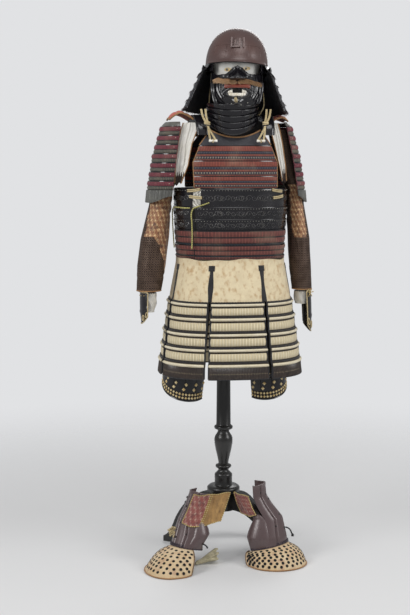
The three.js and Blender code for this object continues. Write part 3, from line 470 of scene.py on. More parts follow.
def woven(main, shade, thread=1.0, sheen=0.2, stain=None, blotch=60):
    """Plain-woven cloth: over-and-under threads drawn at thread mm, coarser than real ones so that they
    show, with soft uneven fading, and stains where it has them."""

    def build(t):
        where = add(t, "TexCoord", out="Object")
        x, y, z = add(t, "SeparateXYZ", where, out=(0, 1, 2))
        pitch = 1000 * np.pi / thread
        across = add(t, "Math", add(t, "Math", x, y), pitch, operation="MULTIPLY")
        across = add(t, "Math", across, operation="SINE")
        down = add(t, "Math", add(t, "Math", z, pitch, operation="MULTIPLY"), operation="SINE")
        weave = add(t, "Math", across, down, operation="MULTIPLY")
        cloud = add(t, "TexNoise", {"Vector": where, "Scale": 1000 / blotch, "Detail": 5.0})
        cloud = add(t, "ValToRGB", cloud, stops=[(0.35, 0.0), (0.7, 1.0)])
        colour = add(t, "Mix", {0: cloud, 6: main, 7: shade}, **BLEND)
        if stain:
            spots = add(t, "TexNoise", {"Vector": where, "Scale": 3000 / blotch, "Detail": 6.0})
            spots = add(t, "ValToRGB", spots, stops=[(0.55, 0.0), (0.72, 0.8)])
            colour = add(t, "Mix", {0: spots, 6: colour, 7: stain}, **BLEND)
        skin = add(t, "Bump", {"Height": weave, "Distance": 0.00015})
        return {"Base Color": colour, "Roughness": 0.85, "Sheen Weight": sheen, "Normal": skin}

    return build


def brocade(ground, figure, heart, repeat, dark="#3a241c", worn=0.7):
    """Figured silk: a ground twill with staggered six-petalled flowers on a waving vine in raised weft,
    one repeat every `repeat` mm of the map. The weft is worn through in places to a dark ground."""

    def build(t):
        uv = add(t, "TexCoord", out="UV")
        where = add(t, "Mapping", {"Vector": uv, "Scale": [1 / repeat] * 3})
        bend = add(t, "TexNoise", {"Vector": where, "Scale": 1.3, "Detail": 2.0}, out=1)
        where = add(t, "Mix", {0: 0.35, 4: where, 5: bend}, out=1, data_type="VECTOR")
        where = add(t, "VectorMath", where, [1.4, 1.4, 1.4], operation="MULTIPLY")
        x, y = add(t, "SeparateXYZ", where, out=(0, 1))
        row = add(t, "Math", add(t, "Math", y, operation="FLOOR"), 0.5, x, operation="MULTIPLY_ADD")
        cx = add(t, "Math", add(t, "Math", row, operation="FRACT"), 0.5, operation="SUBTRACT")
        cy = add(t, "Math", add(t, "Math", y, operation="FRACT"), 0.5, operation="SUBTRACT")
        flat = add(t, "CombineXYZ", cx, cy)
        r = add(t, "VectorMath", flat, out=1, operation="LENGTH")
        angle = add(t, "Math", add(t, "Math", cy, cx, operation="ARCTAN2"), 6.0, operation="MULTIPLY")
        petal = add(t, "Math", add(t, "Math", angle, operation="COSINE"), 0.09, 0.27,
                    operation="MULTIPLY_ADD")
        flower = add(t, "Math", petal, r, operation="GREATER_THAN")
        wave = add(t, "Math", add(t, "Math", row, 2 * np.pi, operation="MULTIPLY"), operation="SINE")
        wave = add(t, "Math", cy, 2.4, wave, operation="MULTIPLY_ADD")
        vine = add(t, "Math", add(t, "Math", wave, operation="ABSOLUTE"), 0.2, operation="LESS_THAN")
        raised = add(t, "Math", flower, vine, operation="MAXIMUM")
        colour = add(t, "Mix", {0: raised, 6: ground, 7: figure}, **BLEND)
        middle = add(t, "Math", r, 0.11, operation="LESS_THAN")
        colour = add(t, "Mix", {0: middle, 6: colour, 7: heart}, **BLEND)
        place_ = add(t, "TexCoord", out="Object")
        holes = add(t, "TexNoise", {"Vector": place_, "Scale": 1000 / 14, "Detail": 6.0})
        holes = add(t, "ValToRGB", holes, stops=[(0.5, 0.0), (0.68, worn)])
        colour = add(t, "Mix", {0: holes, 6: colour, 7: dark}, **BLEND)
        skin = add(t, "Bump", {"Height": raised, "Distance": 0.0003})
        return {"Base Color": colour, "Roughness": 0.6, "Sheen Weight": 0.3, "Normal": skin}

    return build


def hide(main, light, stain, blotch, pore=1.8, stained=0.8):
    """Smoked deer leather: soft and matt, mottled by smoke and handling, with a fine pore grain."""

    def build(t):
        where = add(t, "TexCoord", out="Object")
        cloud = add(t, "TexNoise",
                    {"Vector": where, "Scale": 1000 / blotch, "Detail": 6.0, "Roughness": 0.65})
        cloud = add(t, "ValToRGB", cloud, stops=[(0.35, 0.0), (0.62, 1.0)])
        long = add(t, "Mapping", {"Vector": where, "Scale": [1, 1, 0.7]})
        streak = add(t, "TexNoise", {"Vector": long, "Scale": 2200 / blotch, "Detail": 5.0})
        streak = add(t, "ValToRGB", streak, stops=[(0.5, 0.0), (0.72, stained)])
        colour = add(t, "Mix", {0: cloud, 6: main, 7: light}, **BLEND)
        colour = add(t, "Mix", {0: streak, 6: colour, 7: stain}, **BLEND)
        pores = add(t, "TexVoronoi", {"Vector": where, "Scale": 1000 / pore})
        skin = add(t, "Bump", {"Height": pores, "Distance": 0.0002})
        return {"Base Color": colour, "Roughness": 0.75, "Sheen Weight": 0.15, "Normal": skin}

    return build


def mail(under, ring, link):
    """Iron mail sewn to cloth: round links laid flat in a square net and joined by oval ones, blued and
    a little rusty, one link every `link` mm of the map."""

    def build(t):
        uv = add(t, "TexCoord", out="UV")
        where = add(t, "Mapping", {"Vector": uv, "Scale": [1 / link] * 3})
        cell = add(t, "VectorMath", where, operation="FRACTION")
        cell = add(t, "VectorMath", cell, [0.5, 0.5, 0.0], operation="SUBTRACT")
        cell = add(t, "VectorMath", cell, [1.0, 1.0, 0.0], operation="MULTIPLY")
        r = add(t, "VectorMath", cell, out=1, operation="LENGTH")
        away = add(t, "Math", add(t, "Math", r, 0.33, operation="SUBTRACT"), operation="ABSOLUTE")
        ring_on = add(t, "ValToRGB", away, stops=[(0.06, 1.0), (0.15, 0.0)])
        x, y = add(t, "SeparateXYZ", add(t, "VectorMath", cell, operation="ABSOLUTE"), out=(0, 1))
        cross = add(t, "Math", x, y, operation="MINIMUM")
        cross = add(t, "ValToRGB", cross, stops=[(0.03, 1.0), (0.09, 0.0)])
        outer = add(t, "Math", r, 0.3, operation="GREATER_THAN")
        cross = add(t, "Math", cross, outer, operation="MULTIPLY")
        wire = add(t, "Math", ring_on, cross, operation="MAXIMUM")
        spot = add(t, "TexCoord", out="Object")
        rust = add(t, "TexNoise", {"Vector": spot, "Scale": 1000 / 25, "Detail": 5.0})
        rust = add(t, "ValToRGB", rust, stops=[(0.4, 0.0), (0.7, 1.0)])
        metal = add(t, "Mix", {0: rust, 6: ring, 7: "#54402f"}, **BLEND)
        colour = add(t, "Mix", {0: wire, 6: under, 7: metal}, **BLEND)
        shine = add(t, "MapRange", wire, 0.0, 1.0, 0.9, 0.42)
        skin = add(t, "Bump", {"Height": wire, "Distance": 0.0009})
        return {"Base Color": colour, "Roughness": shine, "Metallic": 0.3, "Normal": skin}

    return build


def painted(main, shade, roughness=0.5, coat=0.0, blotch=80, grain=0.05):
    """Brushed paint over a sanded body: nearly even, with a soft sheen and a faint brush grain."""

    def build(t):
        where = add(t, "TexCoord", out="Object")
        cloud = add(t, "TexNoise", {"Vector": where, "Scale": 1000 / blotch, "Detail": 3.0})
        cloud = add(t, "ValToRGB", cloud, stops=[(0.4, 0.0), (0.65, 1.0)])
        fine = add(t, "TexNoise", {"Vector": where, "Scale": 400.0, "Detail": 2.0})
        colour = add(t, "Mix", {0: cloud, 6: main, 7: shade}, **BLEND)
        skin = add(t, "Bump", {"Height": fine, "Distance": grain / 1000})
        return {"Base Color": colour, "Roughness": roughness, "Coat Weight": coat, "Normal": skin}

    return build


def turned_wood(main, shade):
    """Hardwood under black paint: the grain's long lines still read faintly through the gloss."""

    def build(t):
        where = add(t, "Mapping", {"Vector": add(t, "TexCoord", out="Object"), "Scale": [1, 1, 0.06]})
        grain = add(t, "TexNoise", {"Vector": where, "Scale": 1000 / 14, "Detail": 5.0})
        colour = add(t, "Mix", {0: grain, 6: main, 7: shade}, **BLEND)
        skin = add(t, "Bump", {"Height": grain, "Distance": 0.0002})
        return {"Base Color": colour, "Roughness": 0.35, "Coat Weight": 0.35, "Coat Roughness": 0.2,
                "Normal": skin}

    return build


def hairs(root, tip, pale):
    """Boar and horse bristle, tan to orange, each hair paler at its tip; the map runs along it."""

    def build(t):
        along = add(t, "SeparateXYZ", add(t, "TexCoord", out="UV"), out=0)
        where = add(t, "TexCoord", out="Object")
        cloud = add(t, "TexNoise", {"Vector": where, "Scale": 1000 / 9, "Detail": 3.0})
        cloud = add(t, "ValToRGB", cloud, stops=[(0.35, 0.0), (0.65, 1.0)])
        colour = add(t, "Mix", {0: cloud, 6: root, 7: tip}, **BLEND)
        end = add(t, "MapRange", along, 0.3, 1.0, 0.0, 0.6)
        colour = add(t, "Mix", {0: end, 6: colour, 7: pale}, **BLEND)
        return {"Base Color": colour, "Roughness": 0.6, "Sheen Weight": 0.1}

    return build


# Bands down one lame: where each ends, how far it swells in mm, and its two dyes.
CHEST_BANDS = [
    (0.03, 0.0, "#17151a", "#17151a"), (0.36, 1.5, "#9c4f3d", "#8c4133"), (0.40, 0.0, "#1c181c", "#1c181c"),
    (0.52, 0.9, "#232a44", "#57545a"), (0.56, 0.0, "#1c181c", "#1c181c"), (0.68, 1.1, "#9a4f3f", "#8a4334"),
    (0.72, 0.0, "#1c181c", "#1c181c"), (0.84, 1.0, "#2b2a44", "#9b9080"), (0.88, 0.0, "#17151a", "#17151a"),
    (0.97, 0.9, "#8f4a3c", "#7b3c30"), (1.00, 0.0, "#17151a", "#17151a"),
]
WAIST_BANDS = [
    (0.09, 0.0, "#17151a", "#17151a"), (0.44, 1.3, "#8d4c42", "#743a33"), (0.53, 0.0, "#151317", "#151317"),
    (0.86, 1.2, "#8f5045", "#793f37"), (0.93, 0.0, "#151317", "#151317"), (1.00, 0.3, "#202a3c", "#243a42"),
]
GUARD_BANDS = [
    (0.06, 0.0, "#1c1a1e", "#1c1a1e"), (0.50, 1.7, "#93414c", "#7d3340"), (0.58, 0.0, "#1d1b1e", "#1d1b1e"),
    (0.90, 1.3, "#4b514c", "#857d6c"), (1.00, 0.0, "#1c1a1e", "#1c1a1e"),
]
TASSET_BANDS = [
    (0.12, 0.0, "#100e12", "#100e12"), (0.30, 0.6, "#e9dfc4", "#e2d5b4"), (0.42, 0.0, "#100e12", "#100e12"),
    (0.93, 1.2, "#f2e6c6", "#e6d6ae"), (1.00, 0.0, "#100e12", "#100e12"),
]
NECK_BANDS = [
    (0.12, 0.0, "#121116", "#121116"), (0.50, 1.2, "#1a1c2b", "#15151f"), (0.56, 0.0, "#121116", "#121116"),
    (0.90, 1.0, "#1e2133", "#191a26"), (1.00, 0.0, "#100f14", "#100f14"),
]


def hex_of(colour):
    """A palette colour, which bpy.props keeps as linear values, as an sRGB hex string."""
    c = np.array(colour[:3])
    c = np.where(c <= 0.0031308, c * 12.92, 1.055 * c ** (1 / 2.4) - 0.055)
    return "#" + "".join(f"{int(round(255 * v)):02x}" for v in c)


def make_materials(palette):
    """Every material of the armour, from its real finish; palette is the add-on's colours."""
    helmet, shins, leather, shoulders = map(
        hex_of, (palette.helmet, palette.shins, palette.leather, palette.shoulders)
    )
    finishes = {
        "russet_iron": lacquer(helmet, "#5a423d", "#3c2c2b", 0.36, 0.25, 0.62, 45, 0.15, 0.35),
        "black_lacquer": lacquer("#131216", "#1b191d", "#2a2322", 0.2, 0.5, 0.7, 60, 0.0, 0.12),
        "mauve_iron": lacquer(shins, "#5d4c4c", "#41353a", 0.33, 0.35, 0.6, 50, 0.1, 0.3),
        "ribbed_lacquer": lacquer("#2c2420", "#3a2f29", "#57483c", 0.35, 0.3, 0.55, 40, 0.0, 0.2),
        "grey_lacquer": lacquer("#5c5c58", "#6e6d66", "#3b3a38", 0.35, 0.3, 0.55, 40, 0.1, 0.2),
        # the second colour given to silk_lacing is its painted groove shade
        "black_lacing": silk_lacing(NECK_BANDS, "#0c0b10", faded=0.1),
        "chest_lacing": silk_lacing(CHEST_BANDS),
        "waist_lacing": silk_lacing(WAIST_BANDS),
        "shoulder_lacing": silk_lacing(GUARD_BANDS),
        "cream_lacing": silk_lacing(TASSET_BANDS, "#5f4a30", faded=0.0, shade=0.35),
        "cream_cord": silk_cord("#dccba0", "#8f7848"),
        "roll_cord": silk_cord("#f2ead4", "#c8b78e"),
        "white_cord": silk_cord("#efe8d6", "#c6b894"),
        "tan_cord": silk_cord("#b98a58", "#74502f"),
        "crimson_cord": silk_cord("#7c2f3c", "#3d1c22"),
        "gold_cord": silk_cord("#b08f4a", "#6d5426", "#d8c58a"),
        "green_cord": silk_cord("#b4ae55", "#6d6a2c", "#d8d08a"),
        "black_cord": silk_cord("#1c1a1f", "#0c0b0d"),
        "purple_cord": silk_cord("#3a2c3a", "#171218"),
        "cream_leather": hide(leather, "#e8d8b4", "#b48a56", 30, 1.8, 0.7),
        "foot_leather": hide("#d0b388", "#dcc6a2", "#b78f74", 40, 2.2),
        "seam_leather": hide("#6b5138", "#7d6244", "#3d2d1f", 40, 2.2),
        "tie_cloth": woven("#d2c9aa", "#a39a7a", 1.4, 0.25, "#857c5e", 18),
        "red_cloth": woven(shoulders, "#a63a22", 1.4, 0.3),
        "black_cloth": woven("#1d1a1b", "#2a2422", 1.2, 0.1),
        "white_cloth": woven("#eceae4", "#dedad0", 0.9),
        "lining": woven("#4b3a30", "#3a2c26", 1.2, 0.1),
        "ochre_cloth": woven("#b08a55", "#8b6a40", 1.2, 0.2, "#6b5034", 30),
        "orange_brocade": brocade("#8a5a3b", "#c79f70", "#e0c79b", 15.0, "#4a2f22", 0.8),
        "red_brocade": brocade("#84433c", "#a07064", "#b39a86", 15.0, "#4c2a2c"),
        "mail": mail("#271a17", "#735d4e", 8.0),
        "bristle": hairs("#8f6a48", "#b58c60", "#d6b48c"),
        "slate_lacquer": lacquer("#25242a", "#2e2d33", "#3b3a40", 0.55, 0.05, 0.6, 50, 0.0, 0.2),
        "worn_silver": lacquer("#4c4b4e", "#6b6966", "#2a292c", 0.35, 0.2, 0.5, 12, 0.7, 0.1),
        "worn_silk": hairs("#1a1418", "#2c1c20", "#4a2e2e"),
        "lip_red": painted("#8c3f2c", "#6d2c20", 0.4, 0.3, 14),
        "rivet_silver": lacquer("#a9a69e", "#8d8a82", "#5e5b56", 0.35, 0.0, 0.6, 8, 0.85, 0.05),
        "rivet_dark": lacquer("#1a181a", "#262224", "#3a3032", 0.3, 0.3, 0.6, 8, 0.4, 0.05),
        "gold_leaf": painted("#e2cfa0", "#c9a866", 0.5, 0.1, 8),
        "tooth_paint": painted("#f6f2e8", "#e9e0cc", 0.3, 0.4, 12),
        "head_paint": painted("#ecebe6", "#e3e1da", 0.55, 0.0, 90, 0.08),
        "eye_dark": painted("#1b1612", "#2a1f17", 0.3, 0.3, 5),
        "eye_ochre": painted("#c7a45c", "#d9c79a", 0.4, 0.2, 6),
        "black_wood": turned_wood("#151515", "#23211f"),
        # painted shade for the mask's open mouth and the foot guards' piercings
        "painted_opening_shade": painted("#0a090a", "#100e0e", 0.8),
    }
    for name, build in finishes.items():
        material(name, build)

# ---------------------------------------------------------------- the armour's surfaces

SQUARENESS = 2.5  # exponent of the girth curve; 2 is an ellipse
GIRTH = table(  # the cuirass and skirt: half width, and depth before and behind the axis, by height
    "z half front back", (1470, 162, 116, 112), (1414, 172, 136, 126), (1363, 179, 150, 136),
    (1308, 184, 156, 142), (1275, 187, 160, 144), (1210, 188, 162, 143), (1138, 184, 158, 137),
    (1041, 180, 150, 130), (903, 205, 171, 151), (649, 243, 202, 182),
)
HEAD_AT = np.array([13.0, -55.0, 0.0])
HEAD_YAW = -8
HELMET_RIM = 1672


def girth(angle, z, out=0.0):
    """The body's girth: a superellipse in polar form, r = ((|sin a| / half)^n + (|cos a| / depth)^n)^(-1/n),
    `out` mm outside it."""
    angle, z = np.broadcast_arrays(np.asarray(angle, float), z)
    s, c = np.sin(np.radians(angle)), np.cos(np.radians(angle))
    half = look(GIRTH, "half", z) + out
    depth = np.where(c >= 0, look(GIRTH, "front", z), look(GIRTH, "back", z)) + out
    r = ((np.abs(s) / half) ** SQUARENESS + (np.abs(c) / depth) ** SQUARENESS) ** (-1 / SQUARENESS)
    return point(r * s, -r * c, z)


def girth_across(x, z, out, facing):
    """The girth's front (facing -1) or back (facing 1) at a given x: y = depth (1 - |x / half|^n)^(1/n)."""
    x, z = np.broadcast_arrays(np.asarray(x, float), z)
    depth = look(GIRTH, "front" if facing < 0 else "back", z) + out
    share = (np.abs(x) / (look(GIRTH, "half", z) + out)) ** SQUARENESS
    return point(x, facing * depth * (1 - share) ** (1 / SQUARENESS), z)


def oval(x, y, rx, ry, angle, z, out=0.0):
    """An oval section: (x + (rx + out) sin a, y - (ry + out) cos a, z)."""
    a = np.radians(angle)
    return point(x + (rx + out) * np.sin(a), y - (ry + out) * np.cos(a), z)


def section(rows, angle, z, out=0.0):
    """An oval whose middle and half widths come from a table by height."""
    x, y, rx, ry = (look(rows, column, z) for column in ("x", "y", "rx", "ry"))
    return oval(x, y, rx, ry, angle, z, out)


def on_head(points):
    """From the head's own frame to the armour's."""
    return turned(points, "z", HEAD_YAW) + HEAD_AT


def on_helmet(points):
    """From the helmet's frame, heights above its rim, to the armour's: it tilts back and to its left."""
    return on_head(turned(turned(points, "y", 2), "x", -4) + [0, 0, HELMET_RIM])


# ---------------------------------------------------------------- lacing and edges


def laced(at, across, tops, bottom, bands, cords, lip=3.0, thick=2.5):
    """Laced lames in one closed wall. `at(u, z, out)` is the surface they follow; u runs from across[0]
    to across[1]. Down each lame the base steps in from the lip, as each lame's top edge stands outside
    the one above, and every band of cords swells by its own amount: out = lip (1 - f) + swell sin(pi t).
    Across, each cord is rounded: + 0.7 |sin(pi x)| on the swelling bands, x counting cords."""
    edges = [*tops, bottom]
    f, swell = [], []
    start = 0.0
    for end, rise, *_ in bands:
        t = np.array([0.03, 0.5, 0.97]) if rise else np.array([0.05, 0.95])
        f.append(start + (end - start) * t)
        swell.append(rise * np.sin(np.pi * t) + (0.35 if rise else 0))
        start = end
    f, swell = np.concatenate([[0], *f, [1]]), np.concatenate([[0], *swell, [0]])
    rows = len(tops)
    down = np.concatenate([k + f for k in range(rows)])
    z = np.concatenate([edges[k] + (edges[k + 1] - edges[k]) * f for k in range(rows)])
    out = np.tile(lip * (1 - f) + swell, rows)
    round_ = np.tile(np.where(swell > 0.3, 0.7, 0.0), rows)
    x = np.linspace(0, cords, cords * 2 + 1)
    u = lerp(across[0], across[1], x / cords)[:, None]
    cord_ = np.abs(np.sin(np.pi * x))[:, None]
    outer = at(u, z[None], out[None] + round_[None] * cord_)
    keep = np.round(np.linspace(0, len(z) - 1, rows * 3 + 1)).astype(int)
    inner = at(u, z[keep][None], -thick + 0 * z[keep][None])
    return walled(outer, inner, x, down)


def lame_edges(at, across, tops, lip, heads, scallop=1.2, thick=1.6, tall=5.0, slot=0):
    """The lacquered top edges of laced lames: a thin strip whose upper edge rises in one rounded head per
    scale, z = top + scallop |sin(pi x)|, seen above the lacing."""
    strips = []
    x = np.linspace(0, heads, heads * 2 + 1)
    u = lerp(across[0], across[1], x / heads)[:, None]
    for top in tops:
        z = np.stack([top + scallop * np.abs(np.sin(np.pi * x)) + 0.3, np.full(len(x), top - tall)], 1)
        outer = at(u, z, lip + 0.9)
        inner = at(u, z, lip + 0.9 - thick)
        strips.append(walled(outer, inner, x, np.array([0, tall]), slot=slot))
    return strips


def scatter(at, us, zs, out, shape, slot=0):
    """Copies of a small shape standing square on a surface at each (u, z) pair."""
    us, zs = np.asarray(us, float), np.asarray(zs, float)
    here = at(us, zs, out)
    side = at(us + 0.01 * np.sign(us.mean() or 1), zs, out) - here
    upward = at(us, zs + 0.5, out) - here
    outward_ = np.cross(side, upward)
    outward_ *= np.sign(np.einsum("ij,ij->i", outward_, here - at(us, zs, out - 1.0)))[:, None]
    return copies(shape, here, along=upward, up=outward_, slot=slot)


# ---------------------------------------------------------------- stage and camera


def make_stage():
    """A pale floor that fades into the plain backdrop, soft lights from both sides and the view."""
    scene = bpy.context.scene
    scene.view_settings.view_transform = "Standard"
    world = bpy.data.worlds.new("studio")
    scene.world = world
    world.use_nodes = True
    t = world.node_tree
    seen = add(t, "LightPath", out=0)
    sky = add(t, "MapRange", seen, 0.0, 1.0, 0.42, 1.0)
    t.nodes["Background"].inputs[0].default_value = linear("#e1e2e4")
    t.links.new(sky, t.nodes["Background"].inputs[1])

    def floor_paint(t):
        return {"Base Color": "#e4e4e4", "Roughness": 0.7}

    material("floor_paper", floor_paint)
    paper = MATERIALS["floor_paper"]
    t = paper.node_tree
    where = add(t, "TexCoord", out="Object")
    reach = add(t, "VectorMath", where, out=1, operation="LENGTH")
    fade = add(t, "MapRange", reach, 0.7, 3.0, 0.0, 1.0, interpolation_type="SMOOTHSTEP")
    clear = add(t, "BsdfTransparent")
    blend = add(t, "MixShader", fade, t.nodes["Principled BSDF"].outputs[0], clear)
    t.links.new(blend, t.nodes["Material Output"].inputs[0])
    r, a = np.array([0.0, 0.6, 1.2, 2.0, 3.2]), np.linspace(0, 2 * np.pi, 49)[:-1]
    disc = grid(point(1000 * r * np.sin(a[:, None]), 1000 * r * np.cos(a[:, None]), 0 * a[:, None]),
                ring=True)
    mesh = bpy.data.meshes.new("floor")
    mesh.from_pydata(((disc["v"] / 1000) - [0, 0, 0.0006]).tolist(), [], disc["quads"].tolist())
    mesh.validate()
    floor = bpy.data.objects.new("floor", mesh)
    mesh.materials.append(paper)
    scene.collection.objects.link(floor)
    lights = (  # name, azimuth, height and distance in metres, size, power, and the height it aims at
        ("left_soft", -62, 2.3, 2.9, 1.6, 44, 1.0),
        ("right_soft", 58, 2.1, 2.9, 1.6, 36, 1.0),
        ("top_soft", 8, 3.6, 1.6, 1.8, 26, 1.2),
        ("back_soft", 165, 2.6, 2.9, 1.8, 24, 1.0),
    )
    for name, azimuth, height, away, size, power, aim in lights:
        lamp = bpy.data.lights.new(name, "AREA")
        lamp.shape, lamp.size, lamp.energy = "DISK", size, power
        made = bpy.data.objects.new(name, lamp)
        a = np.radians(azimuth)
        made.location = (away * np.sin(a), -away * np.cos(a), height)
        aimed = Vector((0, 0, aim)) - made.location
        made.rotation_euler = aimed.to_track_quat("-Z", "Y").to_euler()
        scene.collection.objects.link(made)


def make_camera():
    """The camera: 4.2 m away at azimuth -8 degrees and 1.351 m up, pitched 6.6 degrees down."""
    azimuth, away, height, pitch, aside = np.radians(-8.0), 4200.0, 1351.0, np.radians(6.58), -84.0
    lens = bpy.data.cameras.new("view")
    lens.sensor_fit, lens.sensor_height, lens.lens = "VERTICAL", 24.0, 24.0 * 1235 / 615
    made = bpy.data.objects.new("view", lens)
    across = np.array([np.cos(azimuth), np.sin(azimuth), 0])
    spot = place(away * np.array([np.sin(azimuth), -np.cos(azimuth), 0]) + [0, 0, height] + aside * across)
    made.location = spot
    made.rotation_euler = (np.pi / 2 - pitch, 0, azimuth)
    bpy.context.scene.collection.objects.link(made)
    bpy.context.scene.camera = made


# ---------------------------------------------------------------- cords

SIDE_CORD_FRONT = [  # from its eye on the front end, back to the knot, and hanging free
    (-93, -158, 1229), (-112, -150, 1222), (-133, -138, 1214), (-143, -133, 1209), (-147, -132, 1200),
    (-147, -133, 1160), (-146, -132, 1120), (-147, -131, 1077),
]
SIDE_CORD_BACK = [  # from the knot round the wearer's right side, and hanging free
    (-153, -128, 1211), (-171, -107, 1211), (-186, -75, 1212), (-194, -42, 1211), (-197, -22, 1204),
    (-197, -18, 1160), (-195, -18, 1120), (-192, -18, 1075),
]


def make_side_cords(radius):
    """The two twisted silk cords that close the cuirass, tied on the wearer's right."""
    for name, route, steps in (("front", SIDE_CORD_FRONT, 200), ("back", SIDE_CORD_BACK, 240)):
        line = path(route, steps)
        body = strand(line, radius, 10, turns=0.55, depth=0.28)
        made = piece("side_cord_" + name, [body], ["green_cord"])
        made.name = "closing_cord_" + name
        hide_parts("side_cord_" + name)


# ---------------------------------------------------------------- display stand

COLUMN = [  # height and radius of the turned column, from its base up
    (150, 40), (209, 40), (212, 41), (214, 54), (217, 57), (229, 57), (232, 55), (236, 50), (238, 32),
    (240, 31), (262, 30.5), (274, 31), (277, 30), (280, 27), (286, 21), (290, 18), (294, 18.4), (297, 21),
    (300, 26), (304, 28), (308, 27), (311, 21), (314, 17), (324, 18.5), (345, 23), (365, 27.6), (385, 31),
    (395, 32), (404, 31.6), (412, 29), (420, 24), (427, 20), (432, 20), (435, 25), (438, 31), (443, 32.5),
    (447, 31.5), (450, 27), (454, 25), (600, 23.8), (900, 22), (1436, 22), (1439, 20),
]
LEG_ANGLES = {"right": -52, "left": 52, "back_right": -128, "back_left": 128}
HEAD_SECTIONS = table(  # the smooth head form: neck, jaw, face and crown
    "z y rx ry", (1506, 8, 44, 44), (1545, 6, 46, 50), (1570, 2, 58, 72), (1600, 0, 68, 84),
    (1640, 0, 74, 91), (1690, 0, 77, 95), (1735, 2, 70, 86), (1762, 4, 52, 62), (1777, 5, 24, 28),
)


def bezier(a, b, c, d, n=9):
    """n points of a cubic: (1-t)^3 a + 3 (1-t)^2 t b + 3 (1-t) t^2 c + t^3 d, without its last point."""
    t = np.linspace(0, 1, n + 1)[:-1, None]
    a, b, c, d = map(np.array, (a, b, c, d))
    return (1 - t) ** 3 * a + 3 * (1 - t) ** 2 * t * b + 3 * (1 - t) * t**2 * c + t**3 * d


def make_stand():
    """The turned column, its four sawn legs, the yoke under the straps and the smooth head form."""
    x, y = STAND_AT[:2]
    piece("turned_column", [lathe(COLUMN, 64, (x, y))], ["black_wood"], ["stand_column"], 50)
    leg = np.concatenate([
        bezier((41, 205), (100, 208), (150, 165), (188, 95)),
        bezier((188, 95), (205, 55), (215, 28), (240, 18)),
        [(240, 18), (240, 0), (200, 0)], bezier((200, 0), (180, 30), (172, 75), (140, 110))[1:],
        bezier((140, 110), (110, 140), (80, 155), (41, 155)),
        [(41, 155)],
    ])
    for side, angle in LEG_ANGLES.items():
        made = board(leg, -12, 12)
        made["v"] = turned(made["v"], "z", angle - 90) + [x, y, 0]
        piece("sawn_leg_" + side, [made], ["black_wood"], ["stand_leg_" + side], 35, 2.0)
    half = [(48, 1505), (96, 1494), (110, 1490), (118, 1483), (122, 1470), (100, 1460), (60, 1448),
            (30, 1442)]
    outline = half + [(0, 1440)] + [(-a, b) for a, b in half[::-1]]
    piece("shoulder_yoke", [board(outline, -30, 60)], ["black_wood"], ["stand_yoke"], 35, 3.0)
    rows = path(np.stack([HEAD_SECTIONS[c] for c in ("z", "y", "rx", "ry")], -1), 60)
    z, mid, rx, ry = rows.T
    angle = np.linspace(0, 360, 73)[:-1, None]

    def relief(u, height):
        """The brow and nose bridge, and a soft socket round each eye."""
        a = np.abs((u + 180) % 360 - 180)
        brow = bump(a, 0, 26) * (3.0 * bump(height, 1655, 16) - 2.0 * bump(height, 1690, 9))
        return brow - 3.0 * bump(a, 27, 12) * bump(height, 1660, 13)

    skin = on_head(oval(0, mid, rx, ry, angle, z[None], relief(angle, z[None])))
    head = grid(skin, ring=True)
    m = len(z)
    head["caps"] = [[k * m for k in range(72)], [k * m + m - 1 for k in range(72)][::-1]]
    head = outward(head)
    piece("smooth_head", [head], ["head_paint"], ["stand_head"], 60)
    eyes = []
    t, r = np.linspace(0, 2 * np.pi, 25)[:-1, None], np.linspace(0.04, 1, 6)
    for sign in (-1, 1):
        for kind, wide, tall, lift, aside in ((0, 15.0, 6.2, 0.35, 0.0), (1, 4.2, 4.2, 0.85, -2.5)):
            u = sign * 24.0 + aside + wide * r * np.cos(t) / 1.45
            height = 1660 + tall * r * np.sin(t) + sign * 1.5
            shape = [np.interp(height, z, col) for col in (mid, rx, ry)]
            base = relief(u, height)
            skins = [on_head(oval(0, *shape, u, height, base + o))
                     for o in (lift * (1.2 - 0.5 * r**2), -0.6)]
            eyes.append(walled(*skins, ring=True, slot=kind))
    piece("painted_eyes", eyes, ["eye_ochre", "eye_dark"])

# ---------------------------------------------------------------- helmet

BOWL = {"half": 103.0, "length": 120.0, "height": 126.0}
NECK_LAMES = table(
    "z half length", (-4, 106, 124), (-30, 120, 134), (-57, 131, 142), (-85, 144, 150), (-114, 156, 158),
    (-142, 170, 166),
)
NECK_TOPS = [-4, -30, -57, -85, -114, -142]
NECK_FRONT = 68


def bowl(angle, rise, out=0.0):
    """A point of the bowl by angle and by rise from the rim (0) to the crown (1): a dome fuller than an
    ellipsoid, with cos^0.9 of the rise across and sin^0.9 up."""
    lift, a = np.radians(90 * rise), np.radians(angle)
    full = np.cos(lift) ** 0.9
    return on_helmet(point(
        (BOWL["half"] + out) * full * np.sin(a),
        -(BOWL["length"] + out) * full * np.cos(a),
        (BOWL["height"] + out) * np.sin(lift) ** 0.9,
    ))


